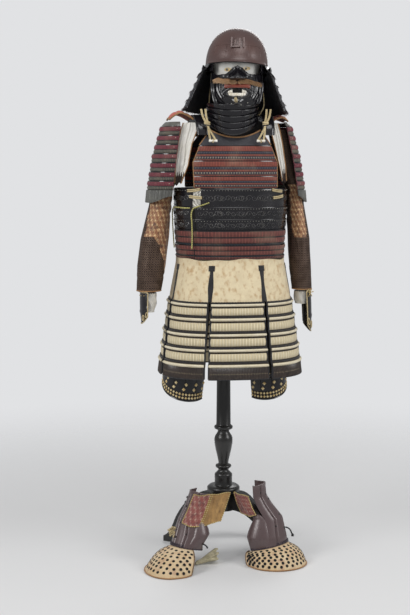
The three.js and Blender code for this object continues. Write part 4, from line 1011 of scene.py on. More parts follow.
def make_helmet():
    """The russet iron bowl with its dark rim, brow plate and the thin prongs of its crest holder."""
    angle = np.linspace(0, 360, 97)[:-1, None]
    rise = np.concatenate([np.linspace(0, 0.9, 34), 1 - 0.1 * np.linspace(1, 0.03, 10)[1:] ** 1.3])[None]
    dent = -0.5 * bump(angle, 200, 30) * bump(rise, 0.5, 0.2) - 0.3 * np.sin(np.radians(3 * angle)) * rise
    shell = walled(bowl(angle, rise, dent), bowl(angle, rise[:, ::3], -2.2), ring=True)
    bead = tube(bowl(angle[:, 0], 0.0, 0.2), 2.2, 10, ring=True, slot=1)
    piece("iron_bowl", [shell, bead], ["russet_iron", "black_cord"], ["helmet_bowl"], 50)
    u = np.linspace(-60, 60, 97)[:, None]
    rows = np.array([0.30, 0.295, 0.24, 0.17, 0.10, 0.045, 0.03, 0.026, 0.024])
    rise_out = np.array([0.5, 1.3, 1.7, 2.0, 2.3, 2.9, 4.6, 7.6, 11.0])
    drop = np.array([0, 0, 0, 0, 0, 0.4, 1.8, 4.2, 7.0])
    shape = 1 - 0.10 * ease(np.abs(u), 12, 58)
    seam = -0.5 * bump(np.abs(u), 21, 0.7)
    fall = point(0, 0, drop)
    outer = bowl(u, rows * shape, rise_out + seam * (rise_out < 4)) - fall
    inner = bowl(u, rows * shape, rise_out - 1.5) - fall - [0, 0, 0.3]
    lip = tube(bowl(u[:, 0], rows[-1] * shape[:, 0], 11.0) - fall[-1], 1.4, 8)
    ends = [tube(bowl(e, np.linspace(0.05, 0.26, 12), 1.7), 0.9, 6) for e in (-46.0, -22.0, 26.0, 46.0)]
    level = tube(bowl(np.linspace(-46, 46, 50), 0.262, 1.5), 0.8, 6)
    heads = np.array([-50, -36, -25, -17, 17, 25, 36, 50.0])
    studs = scatter(bowl, heads, 0.16 + 0 * heads, 2.2, dome(1.6, 0.9))
    piece("brow_plate_front", [walled(outer, inner), lip, level, *ends, studs], ["russet_iron"],
          ["brow_plate"], 40)
    fork = [(-15, 0), (15, 0), (15, 3), (-11, 3), (-11, 36), (-15, 36)]
    holder = board(fork, -3, 0)
    prongs = [board([(11, 0), (15, 0), (15, 34), (11, 34)], -3, 0),
              board([(-3, 3), (-1, 3), (-1, 26), (-3, 26)], -3, 0),
              board([(25, 2), (28, 2), (28, 36), (25, 36)], -3, 0)]
    made = joined(holder, *prongs)
    made["v"] = on_helmet(turned(made["v"], "x", -23) + [-8, -117.4, 46])
    piece("crest_fork", [made], ["russet_iron"], ["crest_holder"], 30, 0.5)


def make_neck_guard():
    """Five laced lames that flare from the rim, open in front, with small turned-out wings. The first one has
    a plain lacquered upper edge that closes it to the rim."""
    for k in range(5):
        top, bottom = NECK_TOPS[k : k + 2]

        def at(angle, z, out):
            half, length = look(NECK_LAMES, "half", z), look(NECK_LAMES, "length", z)
            reach = (z - bottom) / (top - bottom)
            wing = 10 * ease(np.abs(180 - angle), 96, 112) * np.clip(reach, 0, 1) if k == 0 else 0
            return on_helmet(oval(0, 0, half + wing, length, angle, z, out))

        wall = laced(at, (NECK_FRONT, 360 - NECK_FRONT), [top], bottom - 2.5, NECK_BANDS, 96, thick=1.2)
        teeth = lame_edges(at, (NECK_FRONT, 360 - NECK_FRONT), [top], 2.6, 48, 0.8, 1.2, 3.2, slot=1)
        x = np.linspace(0, 96, 193)
        fringe = bottom - 1.8 - 1.6 * np.abs(np.sin(np.pi * x)) - 0.8 * np.sin(2.3 * x) ** 2
        angle = lerp(NECK_FRONT, 360 - NECK_FRONT, x / 96)[:, None]
        z = np.stack([np.full(len(x), bottom + 4.0), fringe], 1)
        hang = walled(at(angle, z, np.array([1.2, 1.5])), at(angle, z, np.array([0.1, 0.5])), x, [0.2, 0.4])
        ends = []
        for side in (NECK_FRONT, 360 - NECK_FRONT):
            zz = np.linspace(top, bottom - 2.5, 8)
            ends.append(tube(at(side, zz, lerp(2.4, 0.6, np.linspace(0, 1, 8))), 1.7, 8, slot=1))
        rng = np.random.default_rng(RANDOM + k)
        hairs_at = rng.uniform(NECK_FRONT, 360 - NECK_FRONT, 300)
        roots = at(hairs_at, bottom + rng.uniform(-1, 4, 300), 1.0)
        tips = at(hairs_at + rng.normal(0, 1.2, 300), bottom - rng.uniform(3, 10, 300),
                  rng.uniform(3, 10, 300))
        loose = bristles(roots, tips, 0.75, 0 * roots, slot=2)
        patches = [wall, hang, *teeth, *ends, loose]
        if k == 0:
            a = np.linspace(52, 308, 97)[:, None]
            drop = np.array([2.0, -6, -14, -24])[None]
            upper = [on_helmet(oval(0, 0, 99.0, 116.0, a, drop, o)) for o in (1.2, 0.0)]
            patches.append(walled(*upper, slot=1))
        piece(f"neck_lame_{k + 1}", patches, ["black_lacing", "black_lacquer", "worn_silk"],
              [f"neck_guard_{k + 1}"])
    wings = []
    for sign in (-1, 1):
        t, s = cells(0, 1, 25, 0, 1, 17)
        reach = np.sin(np.pi * (0.06 + 0.88 * t)) ** 0.45
        angle = sign * lerp(58, 116, t)
        outer = on_helmet(oval(0, 0, 103.5, 120.5, angle, 1.5 - 33 * s * reach, 1.5 + 22 * s**1.25 * reach))
        inner = on_helmet(oval(0, 0, 103.5, 120.5, angle, 0.7 - 33 * s * reach, 0.0 + 22 * s**1.25 * reach))
        wings.append(walled(outer, inner))
        wings.append(tube(path(outer[::2, -1], 50), 1.2, 8))
    piece("turned_wings", wings, ["black_lacquer"])


def make_chin_cord():
    """The cream silk cord from the rim, past the cheeks and under the chin."""
    half = [(-84, 22, 1655), (-86, 18, 1610), (-90, 2, 1570), (-90, -8, 1545), (-74, -2, 1514),
            (0, -50, 1490)]
    route = half + [(-x, y, z) for x, y, z in half[-2::-1]]
    line = on_head(path(route, 260))
    piece("silk_chin_cord", [strand(line, 2.3, 10, turns=0.5, depth=0.28)], ["cream_cord"],
          ["chin_cord"])


# ---------------------------------------------------------------- mask and throat guard

MASK = table(
    "z half depth", (1540, 72, 86), (1560, 78, 92), (1590, 84, 97), (1618, 86, 98), (1630, 86, 98),
    (1650, 85, 97), (1668, 84, 96),
)
MASK_TOP = table("angle edge", (0, 1668), (10, 1662), (24, 1642), (50, 1640), (80, 1656))
MASK_EDGE = 80.0


def mask(angle, share, out=0.0):
    """The war mask: angle from the front, share of the way from its top edge (0) to the chin (1). Its relief
    is a sum of soft hills and folds: nose, nostrils, cheeks, the folds round the mouth, lips and chin."""
    angle, share = np.broadcast_arrays(np.asarray(angle, float), share)
    top = np.interp(np.abs(angle), MASK_TOP["angle"], MASK_TOP["edge"])
    z = lerp(top, 1540 + 14 * (angle / MASK_EDGE) ** 2, share)
    x, a = 100 * np.sin(np.radians(angle)), np.abs(100 * np.sin(np.radians(angle)))
    bridge = (9 + 17 * ease(-z, -1664, -1634)) * np.exp(-((a / (7 + 12 * ease(-z, -1662, -1634))) ** 2))
    nose = bridge * (1 - ease(-z, -1630, -1617))
    nostrils = 12 * bump(a, 22, 9) * bump(z, 1630, 8.5) + 6 * bump(a, 0, 10) * bump(z, 1628, 8)
    cheek = 8.0 * bump(a, 50, 17) * bump(z, 1636, 11)
    reach = np.hypot(a - 14, z - 1606)
    folds = 1.9 * np.cos(2 * np.pi * reach / 11.0) * ease(a, 40, 54) * (1 - ease(a, 78, 94)) \
        * bump(z, 1590, 26)
    fold = 3.0 * np.exp(-(((a - 50 + 0.25 * (z - 1590)) / 5.0) ** 2)) * ease(-z, -1606, -1594) \
        * ease(z, 1556, 1570)
    lips = 4.2 * np.exp(-(((np.hypot(x / 46, (z - 1584) / 17) - 1.0) / 0.15) ** 2))
    mouth = -9.0 * (1 - ease(np.hypot(x / 44, (z - 1584) / 14.5), 0.72, 1.0))
    chin = 10.0 * bump(a, 0, 21) * bump(z, 1553, 10) - 2.0 * bump(a, 30, 9) * bump(z, 1553, 12)
    relief = nose + nostrils + cheek + folds + fold + lips + mouth + chin
    return on_head(oval(0, -8, look(MASK, "half", z), look(MASK, "depth", z) + 3, angle, z, relief + out))


def bristles(roots, tips, width, sag, slot=0):
    """Thin tapering hairs from roots to tips, each bending by its own sag: p(t) = root + (tip - root) t
    + sag t^2, three-sided, with radius width (1 - 0.8 t)."""
    n = 4
    t = np.linspace(0, 1, n)[None, :, None]
    line = roots[:, None] + (tips - roots)[:, None] * t + sag[:, None] * t**2
    along = (tips - roots) / np.linalg.norm(tips - roots, axis=1)[:, None]
    side = np.cross(along, [0.1, 0.2, 0.97])
    side /= np.linalg.norm(side, axis=1)[:, None]
    up = np.cross(side, along)
    r = width * (1 - 0.8 * t[..., 0])[..., None]
    turn = np.array([0, 2, 4]) * np.pi / 3
    rings = line[:, :, None] + (side[:, None, None] * np.cos(turn)[:, None]
                                + up[:, None, None] * np.sin(turn)[:, None]) * r[..., None]
    count = len(roots)
    one = grid(np.zeros((n, 3, 3)), belt=True)
    base = np.arange(count)[:, None, None] * (3 * n)
    caps = [[b + 2, b + 1, b] for b in range(0, count * 3 * n, 3 * n)]
    caps += [[b - 3, b - 2, b - 1] for b in range(3 * n, (count + 1) * 3 * n, 3 * n)]
    patch = {"v": rings.reshape(-1, 3), "quads": (one["quads"][None] + base).reshape(-1, 4),
             "uv": np.tile(one["uv"], (count, 1, 1)), "caps": caps, "slot": slot}
    return outward(patch)


def make_mask():
    """The black lacquered war mask with its painted teeth, bristle moustache and chin tuft."""
    u = np.linspace(-MASK_EDGE, MASK_EDGE, 133)[:, None]
    v = np.linspace(0, 1, 73)[None]
    shell = walled(mask(u, v), mask(u, np.linspace(0, 1, 25)[None], -2.2))
    rims = [tube(mask(u[::2, 0], 0.0, 0.3), 1.5, 8), tube(mask(u[::2, 0], 1.0, 0.3), 1.6, 8)]
    rims += [tube(mask(a, v[0, ::3], 0.2), 1.5, 8) for a in (-MASK_EDGE, MASK_EDGE)]
    flanges = []
    for sign in (-1, 1):
        t, s = cells(0, 1, 9, 0.30, 0.97, 25)
        angle = sign * (52 + 9 * t + 6 * np.sin(np.pi * s))
        flanges.append(walled(mask(angle, s, 1.5 + 9 * ease(t, 0.2, 1)),
                              mask(angle, s, 0.2 + 9 * ease(t, 0.2, 1))))
    piece("war_mask", [shell, *rims, *flanges], ["black_lacquer"], ["face_mask"], 55)
    teeth = []
    for row, z0, tall in ((0, 1589, 11.0), (1, 1577.5, 10.5)):
        for x0 in np.arange(-35 + 4 * row, 36, 7.8):
            if row == 0 and -13 < x0 < 13:
                continue
            t, s = cells(-1, 1, 7, -1, 1, 7)
            x = x0 + 3.9 * t
            z = z0 + (tall / 2) * s - 0.002 * x**2
            bulge = 3.2 * (1 - 0.7 * t**4) * (1 - 0.6 * s**4)
            angle = np.degrees(np.arcsin(x / 84))
            outer = on_head(oval(0, -8, 84, 93.5, angle, z, bulge))
            inner = on_head(oval(0, -8, 84, 93.5, angle, z, -1.6))
            teeth.append(walled(outer, inner))
    # painted shade: a dark sheet behind the teeth stands for the shaded inside of the open mouth
    a, z = cells(-30, 30, 25, 1597, 1570, 5)
    painted_mask_mouth_shade, back = (on_head(oval(0, -8, 84, depth, a, z)) for depth in (91.2, 90.2))
    piece("painted_teeth", [joined(*teeth), walled(painted_mask_mouth_shade, back, slot=1)], ["tooth_paint", "painted_opening_shade"],
          sharp=50)
    lip_angle = np.linspace(-27, 27, 41)[:, None]
    lip_z = np.linspace(1611, 1599, 9)[None] - 0.0016 * lip_angle**2
    arch = 6.5 + 3.0 * np.sin(np.pi * np.linspace(0, 1, 9))[None]
    lip = walled(on_head(oval(0, -8, 86, 100, lip_angle, lip_z, arch - 1.5)),
                 on_head(oval(0, -8, 86, 100, lip_angle, lip_z[:, ::2], 1.0)), slot=2)
    rng = np.random.default_rng(RANDOM)
    n = 1500
    angle = rng.uniform(-50, 50, n)
    side = np.sign(angle + 0.001)
    a = np.abs(angle)
    z = 1620 + rng.uniform(-8, 8, n) * (1 - 0.35 * a / 60) - 0.10 * angle + 2 * np.sin(angle / 9)
    roots = on_head(oval(0, -8, 86, 100.5, angle, z, 1.5 + 6.0 * bump(a, 0, 26)))
    long = lerp(8, 15, a / 50) * rng.uniform(0.7, 1.2, n)
    tip_angle = angle + side * (4 + 5 * a / 50) * rng.uniform(0.5, 1.3, n)
    tips = on_head(oval(0, -8, 86, 100.5, tip_angle, z - long * 0.30, 8.0 + 4.0 * bump(a, 0, 26)
                        + 2.5 * rng.uniform(0, 1, n)))
    sag = np.stack([0 * z, 0 * z, -2.0 * rng.uniform(0.2, 1, n)], -1)
    tufts = [bristles(roots, tips, 0.5, sag), lip]
    m = 220
    spin, r = rng.uniform(0, 2 * np.pi, m), 4.5 * np.sqrt(rng.uniform(0, 1, m))
    chin = mask(-4.0, 0.80, 1.0)
    root = chin + np.stack([r * np.cos(spin), 0 * r - 0.5, r * np.sin(spin)], -1)
    tip = root + np.stack([0.25 * r * np.cos(spin) + rng.normal(0, 1, m), -4 - rng.uniform(0, 4, m),
                           -10 * rng.uniform(0.7, 1.2, m)], -1)
    tufts.append(bristles(root, tip, 0.4, 0 * root, slot=1))
    studs = [copies(dome(2.4, 1.8, 8), mask(a, v, 0.6), up=mask(a, v, 1.0) - mask(a, v, 0), slot=3)
             for a, v in ((-14.0, 0.93), (9.0, 0.965), (26.0, 0.90))]
    piece("bristle_moustache", tufts + studs, ["bristle", "cream_cord", "lip_red", "rivet_silver"],
          ["moustache"])


def make_throat_guard():
    """Five glossy lacquered lames hung under the jaw, their ends rising at the sides."""
    steps = 5

    def at(angle, share, out):
        z = lerp(1546.0, 1446.0, share) + lerp(8.0, 42.0, share) * np.sin(np.radians(angle)) ** 2
        return on_head(oval(-13, -4, 84 + 2 * share, 92 + 4 * share, angle, z, out))

    u = np.linspace(-98, 98, 91)[:, None]
    f = np.array([0, 0.03, 0.10, 0.3, 0.6, 0.86, 0.93, 0.97, 1.0])
    out = 4.4 * (1 - f) + np.array([-1.6, 0.6, 1.2, 0.8, 0.3, 0.0, -0.6, -1.4, -2.4])
    share = np.concatenate([(k + f) / steps for k in range(steps)])
    keep = np.round(np.linspace(0, len(share) - 1, 2 * steps + 1)).astype(int)
    shell = walled(at(u, share[None], np.tile(out, steps)[None]), at(u, share[keep][None], -2.5))
    pins, knots = [], []
    for k in range(steps):
        a = np.array([-70, -46, -22, 22, 46, 70.0]) + 3 * (-1) ** k
        pins.append(scatter(lambda p, q, o: at(p, -q, o), a, -(k + 0.35) / steps + 0 * a, 3.2,
                            dome(2.0, 1.5, 8), slot=1))
        edge = tube(at(u[::2, 0], (k + 0.04) / steps, 4.4), 1.2, 8)
        knots.append(edge)
    piece("throat_lames", [shell, *knots, *pins], ["black_lacquer", "rivet_dark"],
          ["throat_guard"])

# ---------------------------------------------------------------- cuirass

CHEST_TOPS = [1414, 1364, 1314]
CHEST_WIDTH = table("z half", (1414, 118), (1360, 140), (1275, 138))
BELLY_TOPS = [(1275, 1209), (1215, 1169), (1175, 1138.5)]
WAIST_TOPS = [1138, 1089, 1051]
SEAM_ANGLE = -49.0  # the front end overlaps the back end here, on the wearer's right


def cuirass(angle, z, out=0.0):
    """The girth, its last stretch drawn in 7 mm where the back end passes under the front end."""
    return girth(angle, z, out - 7 * ease(angle, 285, 306))


def make_chest(cords):
    """The laced chest and back panels, the plain plates over them and their rolled edges."""
    for facing, name in ((-1, "chest"), (1, "back")):

        def at(share, z, out):
            return girth_across(share * look(CHEST_WIDTH, "half", z), z, out, facing)

        wall = laced(at, (-1, 1), CHEST_TOPS, 1275.5, CHEST_BANDS, cords)
        teeth = lame_edges(at, (-1, 1), CHEST_TOPS, 2.4, cords // 2, 0.9, 1.3, 3.0, slot=1)
        z = np.linspace(1411, 1278, 60)
        sides = [strand(at(s, z, 1.2), 2.0, 8, slot=2) for s in (-1, 1)]
        dots = []
        for s in (-0.965, 0.965):
            for top in (1414, 1364, 1314):
                here = at(s, np.array([top - 30.0, top - 39.0]), 3.4)
                dots.append(copies(dome(2.6, 2.0, 8), here, up=[0, facing, 0.0], slot=3))
        piece(name + "_lacing", [wall, *teeth, *sides, *dots],
              ["chest_lacing", "black_lacquer", "tan_cord", "white_cord"], [name + "_lames"])
        x = np.linspace(-1, 1, 65)[:, None]
        rise = np.array([0, 0.03, 0.5, 0.93, 0.99])[None]
        edge = 1440 + 24 * x**2
        width, z = x * lerp(120, 84, rise), lerp(1414.5, edge, rise)
        swell = np.array([0.2, 1.4, 1.8, 1.4, 0.6])[None]
        plate = walled(girth_across(width, z, swell, facing),
                       girth_across(width, z, -2.5 + 0 * swell, facing))
        line = girth_across(84.5 * x[:, 0], edge[:, 0] + 1.0, 0.2, facing)
        roll = strand(line, 2.9, 10, turns=0.35, slot=1)
        knots = [roll]
        for s in (-1, 1):
            t = np.linspace(0, 1, 20)
            ends = girth_across(s * lerp(119, 85, t), lerp(1416, 1463, t), 0.8, facing)
            knots.append(strand(ends, 2.2, 8, slot=1))
        piece(name + "_top_plate", [plate, *knots], ["slate_lacquer", "tan_cord"],
              ["breast_plate" if facing < 0 else "back_plate"])


STRAP_PATH = [(108, -120, 1448), (110, -112, 1476), (113, -70, 1506), (114, 0, 1513), (113, 66, 1504),
              (110, 104, 1475), (108, 112, 1448)]


def make_straps():
    """The padded shoulder straps, black leather with a corded edge on both sides."""
    line = path(STRAP_PATH, 61)
    along = np.gradient(line, axis=0)
    up = np.stack([0 * along[:, 0], -along[:, 2], along[:, 1]], -1)
    up /= np.linalg.norm(up, axis=1)[:, None]
    s = np.linspace(-1, 1, 17)
    for side, sign in SIDES:
        swell = 4.2 * (1 - s**6) + 0.2
        outer = line[:, None] + up[:, None] * swell[None, :, None] + point(19 * s, 0, 0)[None]
        inner = line[:, None] + point(19 * s, 0, 0)[None]
        flip = np.array([sign, 1, 1])
        rolls = [strand((line + up * 2.0 + [19 * e, 0, 0]) * flip, 2.0, 8, slot=1)
                 for e in (-1, 1)]
        piece("padded_strap_" + side, [walled(outer * flip, inner * flip), *rolls],
              ["black_lacquer", "black_cord"], ["shoulder_strap_" + side])


def scroll(turns, size, hand):
    """A spiral tendril in the plane: r = size (1 - t)^0.8 round its own eye."""
    t = np.linspace(0, 0.93, 40)
    a = hand * 2 * np.pi * turns * t
    r = size * (1 - t) ** 0.8
    return np.stack([r * np.cos(a), r * np.sin(a)], -1)


def make_belly():
    """The plain black belly lames with their silvered rivets, soft corner ornament and low scrolls."""
    u = np.concatenate([np.linspace(SEAM_ANGLE, 285, 180), np.linspace(287, 319, 18)])[:, None]
    for k, (top, bottom) in enumerate(BELLY_TOPS):
        f = np.array([0, 0.02, 0.06, 0.12, 0.3, 0.6, 0.9, 0.97, 1.0])
        out = np.array([1.6, 2.9, 3.6, 3.2, 2.6, 1.6, 0.5, 0.2, -0.6])
        z = lerp(top, bottom, f)[None]
        dent = 0.35 * np.sin(u / 9 + k) * np.sin(np.pi * f)
        wall = walled(cuirass(u, z, out + dent), cuirass(u, z[:, ::2], -2.0 + 0 * z[:, ::2]))
        angles = np.arange(-46, 300, 3.2)
        patches = [wall, scatter(cuirass, angles, top - 7.0 + 0 * angles, 3.7, dome(1.5, 1.2, 5), slot=1)]
        beads = np.arange(-45, 300, 4.6)
        foot = max(bottom, BELLY_TOPS[k + 1][0] if k < 2 else bottom)
        patches.append(scatter(cuirass, beads, foot + 5.0 + 0 * beads, 1.6, dome(1.2, 0.9, 4), slot=2))
        middle = (top + foot) / 2 - 2
        for n_, centre in enumerate(np.arange(-38, 300, 12.0)):
            wide = (10.5 if k == 0 else 8.5) * (1 + 0.12 * np.sin(2.1 * n_))
            for hand in (-1, 1):
                drawn = scroll(1.35, wide, hand)
                angle = centre + hand * 3.0 + np.degrees(drawn[:, 0] / 165)
                height = middle + drawn[:, 1]
                fall = lerp(3.0, 0.6, (top - height) / (top - bottom))
                patches.append(tube(cuirass(angle, height, fall)[::2], 1.15, 4, slot=2))
            if n_ % 2:
                t = np.linspace(0, 2 * np.pi, 15)[:-1]
                ring_ = cuirass(centre + 6 + np.degrees(7.5 * np.cos(t) / 165), middle + 7.5 * np.sin(t),
                                2.2)
                patches.append(tube(ring_, 1.2, 4, ring=True, slot=2))
        piece(f"belly_plate_{k + 1}", patches, ["black_lacquer", "rivet_silver", "worn_silver"],
              [f"belly_lame_{k + 1}"])
    ties = []
    for x0, z0, turn in ((-140, 1270, 8), (-134, 1247, -6), (137, 1268, -8), (141, 1247, 8)):
        for shift in (-2.6, 2.6):
            x = x0 + np.linspace(-19, 19, 20)
            z = z0 + shift + np.tan(np.radians(turn)) * (x - x0)
            sag = -1.2 * np.cos(np.pi * (x - x0) / 44)
            line = girth_across(x, z + sag, 4.6 + 2.2 * np.cos(np.pi * (x - x0) / 40), -1)
            ties.append(strand(line, 2.5, 8))
        knot = girth_across(np.array([x0]), np.array([z0]), 7.5, -1)
        ties.append(copies(dome(4.4, 3.2, 10, 3), knot, up=[0, -1, 0]))
    piece("silk_belly_ties", [joined(*ties)], ["cream_cord"])
    t, s = cells(0, 1, 21, 0, 1, 21)
    angle = SEAM_ANGLE + 0.6 + 8.5 * t
    z = lerp(1272, 1215, s)
    ripple = 0.7 * np.sin(14 * t + 9 * np.sin(4 * s)) * np.sin(13 * s)
    worn = walled(cuirass(angle, z, 4.1 + ripple), cuirass(angle, z, 3.0 + 0 * z))
    piece("chased_end_plate", [worn], ["rivet_silver"])
    z = np.linspace(1273, 1045, 60)
    end = [tube(cuirass(SEAM_ANGLE, z, 2.4), 2.0, 8)]
    piece("front_end_edge", end, ["black_lacquer"])


def make_waist(cords):
    """The laced waist lames round the body, brick and mauve rows divided by black."""
    round_ = laced(cuirass, (SEAM_ANGLE, 319), WAIST_TOPS, 1041, WAIST_BANDS, cords)
    teeth = lame_edges(cuirass, (SEAM_ANGLE, 318.5), WAIST_TOPS, 2.2, cords // 2, 0.7, 1.2, 2.6, slot=1)
    piece("waist_lacing", [round_, *teeth], ["waist_lacing", "black_lacquer"],
          ["waist_lames"])


TOGGLE_STRANDS = [
    [(101, -126, 1532), (99, -128, 1508), (94, -133, 1486)],
    [(115, -124, 1532), (110, -127, 1508), (99, -133, 1486)],
    [(94, -134, 1484), (92, -142, 1455), (88, -146, 1432)],
    [(99, -134, 1484), (84, -140, 1455), (70, -146, 1432)],
]


def make_toggles():
    """The shoulder fastenings: doubled cream cords through a dark ring, looped round a toggle."""
    for side, sign in SIDES:
        flip = np.array([sign, 1, 1])
        parts = []
        for points in TOGGLE_STRANDS:
            line = path(points, 40)
            line[:, 1] -= 0.8 * np.sin(np.linspace(0, np.pi, 40))
            for shift in (-1.5, 1.5):
                parts.append(strand((line + [shift, 0, 0]) * flip, 2.1, 8, turns=0.5, depth=0.28))
        t = np.linspace(0, 2 * np.pi, 33)[:-1]
        for k, z in enumerate((1489, 1484, 1479.5)):
            loop = point(96.5 + 8.5 * np.cos(t), -134 + 3.6 * np.sin(t), z + 1.4 * np.sin(t + k))
            parts.append(tube(loop * flip, 2.1, 8, ring=True, slot=0 if k < 2 else 1))
        half = [(14, 3.4), (13.2, 4.2), (9, 4.4), (6, 3.9), (2, 3.4)]
        toggle = lathe([(-z, r) for z, r in half] + half[::-1], 16, slot=2)
        toggle["v"] = (turned(toggle["v"], "y", 90) + [79, -147, 1429]) * flip
        parts.append(outward(toggle))
        loop = point(79 + 1.5 * np.sin(2 * t), -147 + 5.6 * np.cos(t), 1429 + 5.6 * np.sin(t))
        parts.append(tube(loop * flip, 1.5, 6, ring=True, slot=0))
        piece("silk_toggle_" + side, parts, ["cream_cord", "black_cord", "tooth_paint"],
              ["toggle_cord_" + side])


# ---------------------------------------------------------------- leather skirt and tassets

PANELS = table("from_ to", (-27.5, 27.5), (31.5, 74), (79, 125), (130, 177), (183, 230), (235, 281),
               (286, 328.5))
PANEL_NAMES = ("front", "front_left", "side_left", "back_left", "back_right", "side_right", "front_right")
TASSET_TOPS = [903, 857, 806, 756, 707]
CREASES = table(  # soft troughs in the leather: angle, height they run down to, depth and width
    "angle foot depth width", (-46, 930, 3.4, 5.0), (-34, 960, 1.8, 3.5), (-18, 912, 2.2, 6.0),
    (-6, 975, 1.6, 4.0), (8, 920, 2.6, 5.5), (19, 950, 1.6, 3.5), (40, 915, 3.0, 6.5), (55, 965, 1.8, 4.0),
    (66, 925, 2.2, 5.0), (88, 940, 2.6, 6.0), (104, 910, 2.0, 5.0), (117, 955, 2.8, 4.5),
    (140, 920, 2.4, 6.0), (155, 960, 1.6, 4.0), (168, 915, 2.8, 5.0), (193, 935, 2.2, 5.5),
    (208, 965, 1.7, 4.0), (221, 912, 2.6, 5.0), (243, 950, 2.0, 4.5), (258, 915, 2.8, 6.0),
    (271, 960, 1.8, 4.0), (296, 925, 2.4, 5.0), (310, 960, 1.8, 4.0),
)


def leather(angle, z, out=0.0):
    """The leather skirt: the girth with listed soft creases, deepest in their middle, each running to
    its own depth down the skirt, and a slow wave at the hem."""
    angle, z = np.broadcast_arrays(np.asarray(angle, float), z)
    fold = 0
    for a, foot, depth, width in zip(*(CREASES[c] for c in ("angle", "foot", "depth", "width"))):
        lean = a + 1.6 * np.sin((z - 1041) / 38 + a)
        along = ease(-z, -1041, -1010) * (1 - ease(-z, -foot - 10, -foot + 14))
        away = (angle - lean + 180) % 360 - 180
        hollow = 0.55 * bump(away, 0, width) - 0.45 * bump(away, width * 1.6, width * 0.9)
        fold = fold + depth * along * hollow
    return girth(angle, z, out - fold + 0.9 * np.sin(np.radians(angle * 7)) * ease(-z, -1000, -905))


def make_skirt():
    """The cream leather skirt in its seven tongues, joined above their slits by a scalloped band."""
    parts, length = [], 1040.5 - 903.5
    for a, b in zip(PANELS["from_"] - 0.8, PANELS["to"] + 0.8):
        u, z = cells(a, b, 37, 1024, 903.5, 33)
        outer = leather(u, z)
        parts.append(walled(outer, leather(u, z[:, ::2], -2.3)))
    u = np.linspace(-49, 311, 181)[:-1, None]
    top = 1041 + 2.6 * np.sin(np.radians(u * 4 + 30)) + 1.6 * np.sin(np.radians(u * 11))
    z = lerp(top, 1021.0, np.linspace(0, 1, 9)[None])
    curl = 2.6 * np.linspace(1, 0, 9)[None] ** 2
    band = walled(leather(u, z, 0.4 + curl), leather(u, z[:, ::2], -2.0 + curl[:, ::2]), ring=True)
    caps = []
    for a in np.concatenate([[29.5], (PANELS["to"][1:-1] + PANELS["from_"][2:]) / 2, [-29.5]]):
        t, zz = cells(-1, 1, 9, 1022, 1004, 6)
        caps.append(walled(leather(a + 3.4 * t, zz, 2.2 - 1.2 * t**4), leather(a + 3.4 * t, zz, -0.5),
                           slot=1))
        zz = np.linspace(1010, 904, 22)[None]
        wide = 2.3 + 0.5 * np.sin(zz / 17 + a)
        caps.append(walled(leather(a + wide * t, zz, 1.3 - t**4), leather(a + wide * t, zz, -1.0),
                           slot=1))
    skirt = piece("leather_tongues", [*parts, band, *caps], ["cream_leather", "black_cord"],
                  ["leather_skirt"])
    around = float(np.linalg.norm(np.diff(girth(np.linspace(-49, 311, 361), 972.0), axis=0),
                                  axis=1).sum() / 1000)


def make_tassets(cords):
    """Seven tassets of five laced lames: black scalloped edges, a cream roll and cream lacing on each, and
    a dark ribbed lame at the hem."""
    for name, a, b in zip(PANEL_NAMES, PANELS["from_"], PANELS["to"]):
        count = int(round(cords * (b - a) / 55))
        wall = laced(girth, (a, b), TASSET_TOPS, 649, TASSET_BANDS, count, lip=4.0)
        parts = [wall, *lame_edges(girth, (a, b), TASSET_TOPS, 3.4, count // 2, 1.3, 1.3, 4.2, slot=1)]
        for top, foot in zip(TASSET_TOPS, [857, 806, 756, 707, 649]):
            line = girth(np.linspace(a, b, 44), top - 0.20 * (top - foot), 5.2)
            parts.append(strand(line, 4.6, 6, turns=0.45, depth=0.3, slot=2))
        x = np.linspace(0, count, count * 2 + 1)
        u = lerp(a, b, x / count)[:, None]
        z = np.array([694.0, 690, 672, 654, 649.6])[None]
        rib = 1.3 * np.abs(np.sin(np.pi * x))[:, None]
        out = np.array([1.2, 3.0, 2.8, 2.4, 1.0])[None]
        parts.append(walled(girth(u, z, out + rib), girth(u, z[:, ::2], 0.2 + 0 * z[:, ::2]), x, slot=3))
        hem = girth(np.linspace(a, b, 30), 650.5, 2.0)
        parts.append(tube(hem, 1.6, 6, slot=1))
        for e in (a, b):
            zz = np.linspace(902, 652, 45)
            step = 4.0 * (1 - ((903 - zz) / 50.8) % 1) + 0.4
            parts.append(tube(girth(e, zz, step - 1.6), 3.4, 8, slot=1))
        piece("laced_tasset_" + name, parts, ["cream_lacing", "black_cord", "roll_cord", "ribbed_lacquer"],
              ["tasset_" + name])


# ---------------------------------------------------------------- thigh guards

THIGHS = {"right": (-163, -24, 72, 84, -100, 52, 20), "left": (122, -24, 72, 84, -52, 100, -20)}


def thigh(side, angle, share, out=0.0):
    """A thigh guard's surface: an oval drawn in towards the waist, its hem lowest at one angle."""
    x, y, rx, ry, _, _, lowest = THIGHS[side]
    z = lerp(985, 562 + 24 * ((angle - lowest) / 80) ** 2, share)
    slim = 1 - 0.14 * (1 - share)
    return oval(x * (1 - 0.3 * (1 - share)), y, rx * slim, ry * slim, angle, z, out)


